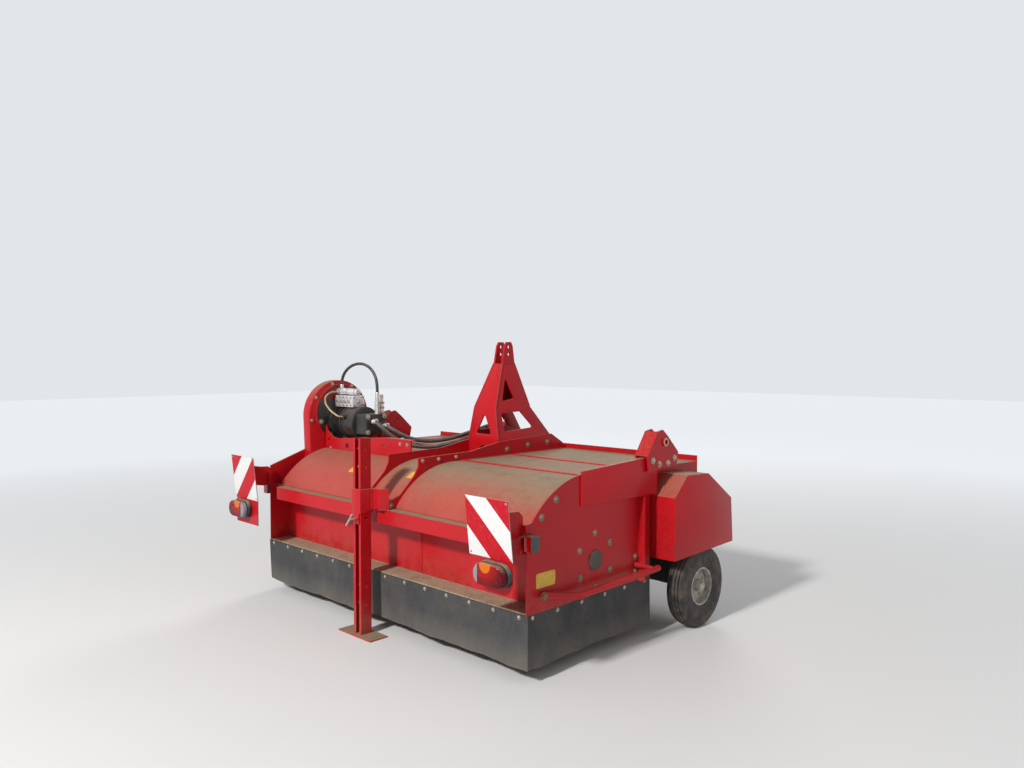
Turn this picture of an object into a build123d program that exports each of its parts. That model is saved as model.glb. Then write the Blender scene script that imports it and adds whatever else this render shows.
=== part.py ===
# Two-row front haulm topper: a flail rotor under a hood, carried by a three-point
# tower, standing on two gauge wheels and a parking stand.
# Millimetres. X runs to the outer end, Y to the rear, Z up from the floor.
from build123d import *
import math
import os

# Main frame
HALF_W = 1180            # centre to the outside of each end plate
PLATE = 8                # end plates
SEAT = 0.3               # gap between seated pieces
INNER_X = HALF_W - PLATE

# Hood
HOOD_T = 6
HOOD_TOP = 930
HOOD_R = 505
HOOD_ARC_Y = 450
HOOD_FRONT_Y = 30
HOOD_REAR_Y = 1500
HOOD_REAR_LOW = 600
HOOD_ARC_Z = HOOD_TOP - HOOD_R
HOOD_FOOT_Z = HOOD_ARC_Z + math.sqrt(HOOD_R**2 - (HOOD_ARC_Y - HOOD_FRONT_Y) ** 2)
SEAM_W = 26
SEAM_H = 5
SEAM_YS = [530, 950]
REAR_FLANGE_H = 32
CASE_GAP_Y = 760         # the drive section is cut back to here beside the belt guard

# End plates
PLATE_REAR_Y = 1000
PLATE_LOW = 330
PLATE_EDGE = 32          # how far the outer plate's edge stands above the hood
DRIVE_FRONT_TOP = 828
FLANGE_Y = 885
FLANGE_OUT = 45
FLANGE_TOP = 790

# Front: the panel stands back between a ledge below and the beam above
PANEL_T = 6
PANEL_Y = 135
PANEL_TOP = 690
LIP_Y = 8
LIP_H = 50
BEAM_Y = (-30, 30)
BEAM_Z = (622, 702)
BEAM_X = (140 - HALF_W, HALF_W - 15)
BEAM_WALL = 5
REAR_BEAM = 100
REAR_BEAM_WALL = 8
SKIRT_T = 8
SKIRT_LOW = 70
SKIRT_REAR_LOW = 150

# Rotor
ROTOR_Y = 513
ROTOR_Z = 507
ROTOR_X = (180 - HALF_W, HALF_W - 68)
TUBE_R = 85
TUBE_WALL = 10
TUBE_END = 20
STUB_R = 25
TIP_R = 355
RIDGE_CUT = 90           # flails over the ridges are shorter by this
ROW_SPACING = 750
FLAIL_COUNT = 40
FLAIL_T = 20
FLAIL_W = 52
LUG_T = 8
LUG_H = 52
FLAIL_TURN = 100         # degrees from one flail to the next
BEARING_R = 80
CAP_R = 53

# Belt guard
CASE_DEPTH = 80
CASE_X = (SEAT - INNER_X, CASE_DEPTH - INNER_X)
CASE_R = 240
CASE_TOP = (490, 1150)
CASE_T = 6

# Motor, its backing disc, end block and valve block
DISC_R = 190
DISC_T = 12
DISC_MID = (500, 1165)
MOTOR_AXIS = (490, 1105)
MOTOR_R = 105
MOTOR_LEN = 434
MOTOR_END = CASE_X[1] + SEAT + MOTOR_LEN
END_BLOCK = (115, 80, 66)    # length, half width, half height
VALVE_X = (CASE_X[1] + 32, CASE_X[1] + 237)
VALVE_Y = (437, 535)
VALVE_H = 78
SPOOL_R = 24
SPOOL_Y = 480

# Cross plate between the belt guard and the tower; its end rises round the motor's disc
CROSS_Y = (372, 380)
CROSS_LOW = 1000
CROSS_HIGH = 1040
CROSS_FOLD = 40
CROSS_HORN = [(0, CROSS_LOW + 90), (30, CROSS_LOW + 40), (85, CROSS_LOW + 8)]
CROSS_HOLES = [(CASE_X[1] + 52, 985, 12), (CASE_X[1] + 266, 955, 19), (MOTOR_END + 247, 990, 12)]

# Webs and tower
WEB_X = 145
WEB_T = 10
TOWER_T = 10
EAR_T = 14
EAR_TOP = 1650
EAR_PIN = (1040, EAR_TOP - 80)
EAR_HOLE = (1040, EAR_TOP - 32)
TOP_PIN_R = 12.5
TOWER_HALF = (WEB_X - WEB_T - SEAT, 98, 42)
TOWER_Z = (1030, 1228, EAR_TOP - 140)
TOWER_Y = ((847, 1342), (862, 1178), (980, 1092))
TOWER_SIDE_WINDOWS = [[(915, 1075), (1185, 1090), (1080, 1198), (905, 1192)],
                      [(930, 1268), (1045, 1282), (985, TOWER_Z[2] - 90)]]
TOWER_FRONT_WINDOW = [(-70, 1058), (70, 1058), (0, 1190)]
BASE_HOLE_R = 50

# Hitch
HITCH_PIN = (1052, 1080)
HITCH_PIN_R = 14
CHEEK_T = 12
CHEEK_INNER_X = HALF_W - 25
BOSS_H = 10
BOX_OUT = (10, 48)
BOX_Y = (394, 998)
BOX_LOW = 799
BOX_TOP = (976, 1009)

# Gauge wheels
WHEEL_R = 235
WHEEL_W = 112
WHEEL_X = HALF_W + 90
WHEEL_Y = 1325
RIM_R = 108
AXLE_R = 17
LEG_W = 90
LEG_T = 20
GUARD_X = HALF_W + 160
GUARD_T = 4
GUARD_OUTLINE = [(1005, 437), (1005, 784), (1130, 896), (1350, 886), (1606, 717), (1626, 454)]

# Parking stand
STAND_X = 20
STAND_W = 70
STAND_T = 6
STAND_SLOT = 32
STAND_Y = (-142, -72)
STAND_LEN = 1093
STAND_LIFT = 480
FOOT = (300, 120, 8)
SLEEVE_Z = (685, 820)
SLEEVE_T = 6
SLEEVE_GAP = 0.5
PIN_R = 8
PIN_Z = 655

# Boards and lamps
BOARD = 282
BOARD_T = 3
BOARD_X = HALF_W - 45
BOARD_Y = -205
BOARD_MID_Z = 773
BOARD_LEAN = 6.5
CARRIER_T = 4
LAMP = (206, 62, 112)
LAMP_Z = 569
LAMP_X = HALF_W - 8
LAMP_REAR = BOARD_Y + 16
ARM_X = (HALF_W - 30, HALF_W - 24)
ARM_Z = (722, 762)
ARM_FOLD = 22
ARM_FOLD_Y = -36
MARKER_X = (HALF_W + SEAT, HALF_W + 50)
MARKER_Y = (-20, 38)
MARKER_Z = (640, 715)

# Guard rod at the outer end: (x, y, z) of its bends
ROD_R = 17
ROD_SIDES = 20
ROD_POINTS = [(HALF_W + 17, 100, 413), (HALF_W + 66, 320, 377), (HALF_W + 66, 990, 390)]
ROD_TONGUE_Z = (370, 406)
ROD_BEND = 60

# Valve pipe and hoses: (x, y, z) of their bends. The pipe's and the loop's x start from
# the belt guard's inner face; the two long hoses are drawn for a motor that ends at HOSE_X.
PIPE_R = 6
PIPE_POINTS = [(40, 455.7, 1312), (40, 400, 1312), (52, 342, 1285), (98, 312, 1238), (158, 316, 1188),
               (208, 345, 1152), (212, 374.7, 1150)]
HOSE_R = 14
LOOP_R = 10
HOSE_SIDES = 10
HOSE_X = -657.4
SUPPLY_HOSE = [(-657.4, 455, 1124), (-630, 455, 1124), (-600, 461, 1110), (-574, 474, 1084), (-549, 496, 1052),
               (-520, 525, 1020), (-484, 560, 992), (-440, 601, 973), (-390, 646, 963), (-335, 693, 962),
               (-282, 748, 972), (-238, 812, 989), (-205, 884, 1010), (-184, 962, 1031), (-172, 1050, 1050),
               (-168, 1145, 1066), (-168, 1235, 1066)]
RETURN_HOSE = [(-657.4, 545, 1092), (-626, 545, 1092), (-594, 552, 1080), (-563, 568, 1061), (-533, 592, 1040),
               (-503, 622, 1020), (-470, 662, 1003), (-434, 709, 994), (-395, 762, 992), (-350, 820, 1000),
               (-302, 885, 1017), (-268, 955, 1040), (-245, 1030, 1062), (-230, 1100, 1080),
               (-220, 1168, 1096), (-220, 1235, 1096)]
LOOP_HOSE = [(48, 480, 1336.6), (48, 480, 1376), (60, 482, 1418), (88, 485, 1454), (129, 488, 1482),
             (178, 491, 1500), (230, 495, 1508), (282, 498, 1505), (331, 501, 1490), (373, 504, 1463),
             (403, 506, 1426), (419, 507, 1384), (424, 507, 1338), (424, 507, 1290)]
COUPLING_R = 20
COUPLING_LEN = 70
NOSE_R = 10.25
NOSE_LEN = 28
HOLDER_Y = 1280

# The frame's origin is midway between the lamps' front and the wheel guards' rear
MID_Y = (LAMP_REAR - LAMP[1] + max(y for y, z in GUARD_OUTLINE)) / 2

nodes = {}


def add(name, *solids):
    """Keep a node's solids, moved from the skirt's front face to the frame's origin."""
    moved = [Pos(0, -MID_Y, 0) * solid for solid in solids]
    nodes[name] = moved[0] if len(moved) == 1 else Compound(children=moved)


def box(x, y, z):
    """A block between two corners given as pairs."""
    size = (x[1] - x[0], y[1] - y[0], z[1] - z[0])
    return Pos((x[0] + x[1]) / 2, (y[0] + y[1]) / 2, (z[0] + z[1]) / 2) * Box(*size)


def along_x(points, x):
    """A flat outline of (y, z) points, as thick as the pair of x says."""
    face = make_face(Polyline(*[(x[0], y, z) for y, z in points], close=True))
    return extrude(face, amount=x[1] - x[0], dir=(1, 0, 0))


def along_y(points, y):
    face = make_face(Polyline(*[(x, y[0], z) for x, z in points], close=True))
    return extrude(face, amount=y[1] - y[0], dir=(0, 1, 0))


def along_z(points, z):
    face = make_face(Polyline(*[(x, y, z[0]) for x, y in points], close=True))
    return extrude(face, amount=z[1] - z[0], dir=(0, 0, 1))


def rod_x(radius, x, y, z):
    return Pos((x[0] + x[1]) / 2, y, z) * Rot(0, 90, 0) * Cylinder(radius, x[1] - x[0])


def rod_y(radius, y, x, z):
    return Pos(x, (y[0] + y[1]) / 2, z) * Rot(90, 0, 0) * Cylinder(radius, y[1] - y[0])


def rod_z(radius, z, x, y):
    return Pos(x, y, (z[0] + z[1]) / 2) * Cylinder(radius, z[1] - z[0])


def other_side(shape):
    return mirror(shape, about=Plane.YZ)


def hood_block(x, inset, low=500):
    """The space under the hood's skin, the skin moved in by inset."""
    radius = HOOD_R - inset
    front = HOOD_FRONT_Y + inset
    angle = math.acos((HOOD_ARC_Y - front) / radius)
    foot = HOOD_ARC_Z + radius * math.sin(angle)
    middle = (angle + math.pi / 2) / 2
    mid = (HOOD_ARC_Y - radius * math.cos(middle), HOOD_ARC_Z + radius * math.sin(middle))
    top = HOOD_TOP - inset
    rear = HOOD_REAR_Y - inset
    at = x[0]
    edges = [
        Line((at, front, low), (at, front, foot)),
        ThreePointArc((at, front, foot), (at, *mid), (at, HOOD_ARC_Y, top)),
        Line((at, HOOD_ARC_Y, top), (at, rear, top)),
        Line((at, rear, top), (at, rear, low)),
        Line((at, rear, low), (at, front, low)),
    ]
    return extrude(make_face(edges), amount=x[1] - x[0], dir=(1, 0, 0))


def hood_section(x, wall_side=0):
    """One section of the hood's skin with its seams, rear flange and end wall."""
    inner = (x[0] - 1, x[1] + 1)
    skin = hood_block(x, 0) - hood_block(inner, HOOD_T, 400)
    keep = box(inner, (HOOD_FRONT_Y - 1, HOOD_REAR_Y + 1), (HOOD_REAR_LOW, HOOD_TOP + 1))
    front_cut = box(inner, (HOOD_FRONT_Y - 1, HOOD_FRONT_Y + 60), (HOOD_REAR_LOW, HOOD_FOOT_Z))
    skin = (skin & keep) - front_cut
    for y in SEAM_YS:
        skin += box(x, (y - SEAM_W / 2, y + SEAM_W / 2), (HOOD_TOP - 1, HOOD_TOP + SEAM_H))
    skin += box(x, (HOOD_REAR_Y - HOOD_T, HOOD_REAR_Y), (HOOD_TOP - 1, HOOD_TOP + REAR_FLANGE_H))
    if wall_side:
        wall = (x[1] - HOOD_T, x[1]) if wall_side > 0 else (x[0], x[0] + HOOD_T)
        skin += box(wall, (PLATE_REAR_Y + 1, HOOD_REAR_Y - 1), (HOOD_REAR_LOW, HOOD_TOP - 1))
    return skin


def make_hood():
    edge = INNER_X - SEAT
    outer = hood_section((WEB_X - WEB_T + 60, edge), 1)
    drive = hood_section((-edge, -(WEB_X - WEB_T + 60)), -1)
    beside_case = box((-INNER_X, CASE_X[1] + SEAT), (0, CASE_GAP_Y), (0, 1200))
    centre = hood_section((-(WEB_X - WEB_T + 60) + SEAT, WEB_X - WEB_T + 60 - SEAT))
    add("hood_outer_side", outer)
    add("hood_drive_side", drive - beside_case)
    add("hood_centre", centre)


def make_end_plates():
    edge_r = HOOD_R + PLATE_EDGE
    nose = 37
    angle = math.acos((HOOD_ARC_Y - nose) / edge_r)
    middle = (angle + math.pi / 2) / 2
    at = INNER_X
    nose_z = HOOD_ARC_Z + edge_r * math.sin(angle)
    mid = (HOOD_ARC_Y - edge_r * math.cos(middle), HOOD_ARC_Z + edge_r * math.sin(middle))
    top = HOOD_ARC_Z + edge_r
    edges = [
        Line((at, 0, PLATE_LOW), (at, 0, ARM_Z[1])),
        Line((at, 0, ARM_Z[1]), (at, nose, nose_z)),
        ThreePointArc((at, nose, nose_z), (at, *mid), (at, HOOD_ARC_Y, top)),
        Line((at, HOOD_ARC_Y, top), (at, PLATE_REAR_Y, top)),
        Line((at, PLATE_REAR_Y, top), (at, PLATE_REAR_Y, PLATE_LOW)),
        Line((at, PLATE_REAR_Y, PLATE_LOW), (at, 0, PLATE_LOW)),
    ]
    outer = extrude(make_face(edges), amount=PLATE, dir=(1, 0, 0))
    outer -= rod_x(CAP_R + SEAT, (at - 1, at + PLATE + 1), ROTOR_Y, ROTOR_Z)
    flange = (FLANGE_Y, FLANGE_Y + PLATE)
    outer += box((HALF_W, HALF_W + FLANGE_OUT), flange, (PLATE_LOW, FLANGE_TOP))
    outline = [(0, PLATE_LOW), (0, DRIVE_FRONT_TOP), (HOOD_ARC_Y, top + 20), (PLATE_REAR_Y, top + 20),
               (PLATE_REAR_Y, PLATE_LOW)]
    drive = along_x(outline, (-HALF_W, -INNER_X))
    drive += box((-HALF_W - FLANGE_OUT, -HALF_W), flange, (PLATE_LOW, FLANGE_TOP))
    add("end_plate_outer", outer)
    add("end_plate_drive", drive)


def make_front():
    back = PANEL_Y + PANEL_T
    shelf = PLATE_LOW + PANEL_T
    panel = [(HOOD_FRONT_Y, HOOD_FOOT_Z - SEAT), (HOOD_FRONT_Y, PANEL_TOP), (PANEL_Y, PANEL_TOP),
             (PANEL_Y, shelf), (LIP_Y, shelf), (LIP_Y, PLATE_LOW - LIP_H), (LIP_Y + PANEL_T, PLATE_LOW - LIP_H),
             (LIP_Y + PANEL_T, PLATE_LOW), (back, PLATE_LOW), (back, PANEL_TOP + PANEL_T),
             (HOOD_FRONT_Y + PANEL_T, PANEL_TOP + PANEL_T), (HOOD_FRONT_Y + PANEL_T, HOOD_FOOT_Z - SEAT)]
    edge = INNER_X - SEAT
    add("front_panel", along_x(panel, (-edge, edge)))
    add("skirt_front", box((-HALF_W - SKIRT_T, HALF_W + SKIRT_T), (LIP_Y - SEAT - SKIRT_T, LIP_Y - SEAT),
                           (SKIRT_LOW, PLATE_LOW - SEAT)))
    side = box((HALF_W - SKIRT_T, HALF_W), (LIP_Y + SEAT, PLATE_REAR_Y), (SKIRT_LOW, PLATE_LOW - SEAT))
    add("skirt_sides", side, other_side(side))
    add("skirt_rear", box((-edge, edge), (HOOD_REAR_Y + SEAT, HOOD_REAR_Y + SEAT + SKIRT_T),
                          (SKIRT_REAR_LOW, HOOD_REAR_LOW + 60)))


def make_webs():
    outline = [(-20, BEAM_Z[1] + SEAT), (-20, 742), (60, 775), (130, 840), (172, 882), (196, 925),
               (197, 971), (608, 978), (847, 1018), (1342, 1038), (1453, 974), (1490, 940),
               (1490, 800), (100, 600), (100, BEAM_Z[1] + SEAT)]
    web = along_x(outline, (WEB_X - WEB_T, WEB_X))
    web -= hood_block((WEB_X - WEB_T - 1, WEB_X + 1), -SEAT, 550)
    for y in SEAM_YS:
        web -= box((WEB_X - 20, WEB_X + 10), (y - SEAM_W / 2 - 1, y + SEAM_W / 2 + 1),
                   (HOOD_TOP, HOOD_TOP + SEAM_H + SEAT))
    add("web_plates", web, other_side(web))


def tower_outlines(inset):
    """The tower's outlines from the front, (x, z), and from the side, (y, z), moved in by inset."""
    base = HOOD_TOP + SEAM_H + SEAT
    reach = 1 if inset else 0
    rise = (TOWER_Z[2] - TOWER_Z[1]) / reach if reach else 0
    heights = (base - reach, TOWER_Z[0], TOWER_Z[1], TOWER_Z[2] + reach)
    halves = [TOWER_HALF[0], *TOWER_HALF]
    fronts = [TOWER_Y[0][0], *[y[0] for y in TOWER_Y]]
    rears = [TOWER_Y[0][1], *[y[1] for y in TOWER_Y]]
    if reach:
        for row in (halves, fronts, rears):
            row[-1] += (row[-1] - row[-2]) / rise
    right = [(half - inset, z) for half, z in zip(halves, heights)]
    left = [(-x, z) for x, z in reversed(right)]
    front = [(y + inset, z) for y, z in zip(fronts, heights)]
    rear = [(y - inset, z) for y, z in zip(reversed(rears), reversed(heights))]
    return right + left, front + rear


def make_tower():
    """Two windowed side plates, and the front and rear plates seated between them."""
    wide = (-WEB_X, WEB_X)
    depth = (TOWER_Y[0][0] - 1, TOWER_Y[0][1] + 1)
    from_front, from_side = tower_outlines(0)
    block = along_x(from_side, wide)
    sides = block & along_y(from_front, depth)
    sides -= along_y(tower_outlines(TOWER_T)[0], depth)
    for window in TOWER_SIDE_WINDOWS:
        sides -= along_x(window, wide)
    add("tower_sides", *sides.solids())
    ends = block & along_y(tower_outlines(TOWER_T + SEAT)[0], depth)
    ends -= along_x(tower_outlines(TOWER_T)[1], wide)
    front = (TOWER_Y[0][0] - 1, TOWER_Y[0][0] + 60)
    ends -= along_y(TOWER_FRONT_WINDOW, front)
    ends -= rod_y(BASE_HOLE_R, front, 0, HOOD_TOP + 5)
    # open at the rear between the base strip and the upper plate
    ends -= box(wide, (front[1], depth[1]), (TOWER_Z[0], TOWER_Z[1] - 20))
    add("tower", *ends.solids())
    foot = TOWER_Z[2] + SEAT
    outline = [(TOWER_Y[2][0], foot), (TOWER_Y[2][1], foot), (EAR_HOLE[0] + 34, EAR_TOP - 24),
               (EAR_HOLE[0] + 20, EAR_TOP), (EAR_HOLE[0] - 20, EAR_TOP), (EAR_HOLE[0] - 36, EAR_TOP - 24)]
    ear = along_x(outline, (TOWER_HALF[2] - EAR_T, TOWER_HALF[2]))
    for y, z in (EAR_PIN, EAR_HOLE):
        ear -= rod_x(TOP_PIN_R, (0, 100), y, z)
    add("top_link_ears", ear, other_side(ear))


def make_cross_plate():
    x0 = CASE_X[1] + 2 * SEAT + DISC_T
    x1 = -WEB_X - SEAT
    foot = HOOD_TOP - 50
    rise_x = (x0 + 150, MOTOR_END + 275)
    outline = [(x0, foot), *[(x0 + x, z) for x, z in CROSS_HORN], (rise_x[0], CROSS_LOW),
               (rise_x[1], CROSS_HIGH), (x1, CROSS_HIGH), (x1, foot)]
    plate = along_y(outline, CROSS_Y)
    fold = [(rise_x[0], CROSS_LOW), (rise_x[1], CROSS_HIGH), (x1, CROSS_HIGH), (x1, CROSS_HIGH - 6),
            (rise_x[1], CROSS_HIGH - 6), (rise_x[0], CROSS_LOW - 6)]
    plate += along_y(fold, (CROSS_Y[0], CROSS_Y[0] + CROSS_FOLD))
    plate -= hood_block((x0 - 1, x1 + 1), -SEAT, 550)
    for x, z, r in CROSS_HOLES:
        plate -= rod_y(r, (CROSS_Y[0] - 1, CROSS_Y[1] + 1), x, z)
    add("cross_plate", plate)


def make_side_boxes():
    def wedge(x_in):
        return [(x_in, BOX_Y[0]), (HALF_W + BOX_OUT[0], BOX_Y[0]), (HALF_W + BOX_OUT[1], BOX_Y[1]),
                (x_in, BOX_Y[1])]
    body = along_z(wedge(HALF_W + SEAT), (BOX_LOW, BOX_TOP[1]))
    body -= along_x([(BOX_Y[0] - 1, BOX_TOP[0]), (BOX_Y[1], BOX_TOP[1]), (BOX_Y[1], BOX_TOP[1] + 9),
                     (BOX_Y[0] - 1, BOX_TOP[1] + 9)], (HALF_W - 1, HALF_W + 99))
    # room for the rear flange of the end plate
    body -= box((HALF_W - 1, HALF_W + 99), (FLANGE_Y - SEAT, FLANGE_Y + PLATE + SEAT), (0, FLANGE_TOP + SEAT))
    add("side_boxes", body, other_side(body))


def make_hitch():
    """The two brackets that take the lower links: two cheeks with a folded front web."""
    cheek_x = HALF_W + BOX_OUT[1] + SEAT
    outline = [(905, 926), (889, 1012), (985, 1142), (1034, 1150), (1084, 1111), (1188, 1015), (1170, 940)]
    outer = along_x(outline, (cheek_x, cheek_x + CHEEK_T))
    outer += rod_x(HITCH_PIN_R + 9, (cheek_x + CHEEK_T - 1, cheek_x + CHEEK_T + BOSS_H), *HITCH_PIN)
    inner = along_x(outline, (CHEEK_INNER_X, CHEEK_INNER_X + CHEEK_T))
    inner -= box((0, HALF_W), (BOX_Y[0], HOOD_REAR_Y), (0, HOOD_TOP + SEAM_H + SEAT))
    fold = along_x([(889, 1012), (985, 1142), (995, 1135), (899, 1006)], (CHEEK_INNER_X, cheek_x + CHEEK_T))
    fold -= box((0, cheek_x - SEAT), (BOX_Y[0], BOX_Y[1] + 1), (0, BOX_TOP[1] + SEAT))
    bracket = outer + inner + fold
    bracket -= rod_x(HITCH_PIN_R, (CHEEK_INNER_X - 1, cheek_x + 99), *HITCH_PIN)
    add("hitch_brackets", bracket, other_side(bracket))


def make_beams():
    """The closed beam across the front and the open-ended one under the hood's rear."""
    front = box(BEAM_X, (BEAM_Y[0], BEAM_Y[1] - SEAT), BEAM_Z)
    front -= box((BEAM_X[0] + BEAM_WALL, BEAM_X[1] - BEAM_WALL),
                 (BEAM_Y[0] + BEAM_WALL, BEAM_Y[1] - SEAT - BEAM_WALL),
                 (BEAM_Z[0] + BEAM_WALL, BEAM_Z[1] - BEAM_WALL))
    edge = INNER_X - SEAT - HOOD_T - SEAT
    y = (HOOD_REAR_Y - HOOD_T - SEAT - REAR_BEAM, HOOD_REAR_Y - HOOD_T - SEAT)
    z = (HOOD_TOP - HOOD_T - SEAT - REAR_BEAM, HOOD_TOP - HOOD_T - SEAT)
    rear = box((-edge, edge), y, z)
    rear -= box((-edge - 1, edge + 1), (y[0] + REAR_BEAM_WALL, y[1] - REAR_BEAM_WALL),
                (z[0] + REAR_BEAM_WALL, z[1] - REAR_BEAM_WALL))
    add("cross_beams", front, rear)


def make_rotor():
    tube_wall = (ROTOR_X[0] + TUBE_END, ROTOR_X[1] - TUBE_END)
    drum = rod_x(TUBE_R, ROTOR_X, ROTOR_Y, ROTOR_Z) - rod_x(TUBE_R - TUBE_WALL, tube_wall, ROTOR_Y, ROTOR_Z)
    drum += rod_x(STUB_R, (CASE_X[1] - 12, ROTOR_X[0] + 1), ROTOR_Y, ROTOR_Z)
    drum += rod_x(STUB_R, (ROTOR_X[1] - 1, INNER_X + 2), ROTOR_Y, ROTOR_Z)
    flails = []
    pitch = (ROTOR_X[1] - ROTOR_X[0] - 80) / (FLAIL_COUNT - 1)
    for i in range(FLAIL_COUNT):
        x = ROTOR_X[0] + 40 + i * pitch
        turn = i * FLAIL_TURN
        ridge = 0.5 - 0.5 * math.cos(2 * math.pi * x / ROW_SPACING)
        tip = TIP_R - RIDGE_CUT * ridge
        place = Pos(x, ROTOR_Y, ROTOR_Z) * Rot(turn, 0, 0)
        half = FLAIL_T / 2 + SEAT
        for side in (-1, 1):
            lug = box((side * half if side > 0 else -half - LUG_T, half + LUG_T if side > 0 else -half),
                      (-24, 24), (TUBE_R - 4, TUBE_R + LUG_H))
            drum += place * lug
        blade = [(-20, TUBE_R + 8), (20, TUBE_R + 8), (FLAIL_W / 2, tip - 40), (FLAIL_W / 2 - 10, tip),
                 (-FLAIL_W / 2, tip - 14)]
        flails.append(place * along_x(blade, (-FLAIL_T / 2, FLAIL_T / 2)))
    add("rotor_drum", drum)
    add("flails", *flails)
    right = rod_x(BEARING_R, (INNER_X - 40, INNER_X - SEAT), ROTOR_Y, ROTOR_Z)
    right += rod_x(CAP_R, (INNER_X - 1, HALF_W + 4), ROTOR_Y, ROTOR_Z)
    right -= rod_x(STUB_R + SEAT, (INNER_X - 41, INNER_X + 3), ROTOR_Y, ROTOR_Z)
    left = rod_x(BEARING_R, (CASE_X[1] + SEAT, CASE_X[1] + 40), ROTOR_Y, ROTOR_Z)
    left -= rod_x(STUB_R + SEAT, (CASE_X[1] - 1, CASE_X[1] + 41), ROTOR_Y, ROTOR_Z)
    add("rotor_bearings", right, left)


def make_drive():
    y1, z1 = CASE_TOP
    case = rod_x(CASE_R, CASE_X, ROTOR_Y, ROTOR_Z) + rod_x(CASE_R, CASE_X, y1, z1)
    link = [(ROTOR_Y - CASE_R, ROTOR_Z), (y1 - CASE_R, z1), (y1 + CASE_R, z1), (ROTOR_Y + CASE_R, ROTOR_Z)]
    case += along_x(link, CASE_X)
    hollow_x = (CASE_X[0] + CASE_T, CASE_X[1] - CASE_T)
    hollow_r = CASE_R - CASE_T
    hollow = rod_x(hollow_r, hollow_x, ROTOR_Y, ROTOR_Z) + rod_x(hollow_r, hollow_x, y1, z1)
    hollow += along_x([(ROTOR_Y - hollow_r, ROTOR_Z), (y1 - hollow_r, z1), (y1 + hollow_r, z1),
                       (ROTOR_Y + hollow_r, ROTOR_Z)], hollow_x)
    case -= hollow
    case -= rod_x(STUB_R + 5, (CASE_X[1] - 20, CASE_X[1] + 1), ROTOR_Y, ROTOR_Z)
    add("belt_guard", case)
    x0 = CASE_X[1] + SEAT
    y2, z2 = MOTOR_AXIS
    length, half_w, half_h = END_BLOCK
    motor = rod_x(DISC_R, (x0, x0 + DISC_T), *DISC_MID)
    motor += rod_x(MOTOR_R - 14, (x0 + DISC_T - 1, x0 + 150), y2, z2)
    motor += rod_x(MOTOR_R, (x0 + 149, MOTOR_END - length + 1), y2, z2)
    motor += box((MOTOR_END - length, MOTOR_END), (y2 - half_w, y2 + half_w), (z2 - half_h, z2 + half_h))
    pipe_x, pipe_y, pipe_z = beside_case(PIPE_POINTS)[-1]
    motor += rod_y(18, (pipe_y + SEAT, y2 - 40), pipe_x, pipe_z)
    add("drive_motor", motor)
    port_x, port_y, port_z = beside_case(LOOP_HOSE)[-1]
    low = z2 + half_h + SEAT
    port = rod_z(17, (low, port_z - 50), port_x, port_y) + rod_z(13, (low, port_z - SEAT), port_x, port_y)
    spare_y = y2 + half_w - 18
    spare = rod_z(16, (low, low + 60), port_x - 14, spare_y) + rod_z(12, (low, port_z + 10), port_x - 14, spare_y)
    add("motor_fittings", port, spare)
    top = z2 + MOTOR_R + SEAT
    block = box(VALVE_X, VALVE_Y, (top, top + VALVE_H))
    block += rod_x(SPOOL_R, (CASE_X[1] + SEAT + DISC_T + 2, VALVE_X[1] + 5), SPOOL_Y, top + VALVE_H + SPOOL_R)
    add("valve_block", block)


def beside_case(points):
    """A route given from the belt guard's inner face."""
    return [(CASE_X[1] + x, y, z) for x, y, z in points]


def from_motor(points):
    """A long hose's route, stretched along X to start at the motor's end block."""
    last = points[-1][0]
    share = (MOTOR_END + SEAT - last) / (HOSE_X - last)
    return [(last + (x - last) * share, y, z) for x, y, z in points]


def tube(points, radius, bends, sides=HOSE_SIDES):
    """A tube of straight runs joined by tangent arcs, with a many-sided section."""
    path = FilletPolyline(*points, radius=bends)
    start = Plane(origin=path @ 0, z_dir=path % 0)
    return sweep(start * RegularPolygon(radius, sides), path=path)


def hose_bends(points):
    """The largest tangent arc that fits at each corner of a hose's route."""
    bends = []
    for before, corner, after in zip(points, points[1:], points[2:]):
        arrive = Vector(*corner) - Vector(*before)
        leave = Vector(*after) - Vector(*corner)
        turn = math.radians(arrive.get_angle(leave))
        bends.append(0.45 * min(arrive.length, leave.length) / math.tan(turn / 2))
    return bends


def make_hoses():
    routes = {"hose_supply": (from_motor(SUPPLY_HOSE), HOSE_R),
              "hose_return": (from_motor(RETURN_HOSE), HOSE_R),
              "hose_loop": (beside_case(LOOP_HOSE), LOOP_R)}
    for name, (points, radius) in routes.items():
        bends = hose_bends(points)
        print(name, "tightest bend", round(min(bends)), "mm, runs", round(sum(
            (Vector(*b) - Vector(*a)).length for a, b in zip(points, points[1:]))), "mm")
        add(name, tube(points, radius, bends))
    add("valve_pipe", tube(beside_case(PIPE_POINTS), PIPE_R, hose_bends(PIPE_POINTS)))
    couplings = []
    x_out = RETURN_HOSE[-1][0] - COUPLING_R - 14
    holder = box((x_out, -WEB_X - SEAT), (HOLDER_Y, HOLDER_Y + 6), (985, RETURN_HOSE[-1][2] + COUPLING_R + 12))
    for x, y, z in (SUPPLY_HOSE[-1], RETURN_HOSE[-1]):
        last = y + COUPLING_LEN
        nose = rod_y(NOSE_R, (last - 1, last + NOSE_LEN), x, z)
        couplings.append(rod_y(COUPLING_R, (y + SEAT, last), x, z) + nose)
        holder -= rod_y(COUPLING_R + SEAT, (HOLDER_Y - 1, HOLDER_Y + 7), x, z)
    add("hose_couplings", *couplings)
    add("coupling_holder", holder)


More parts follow.
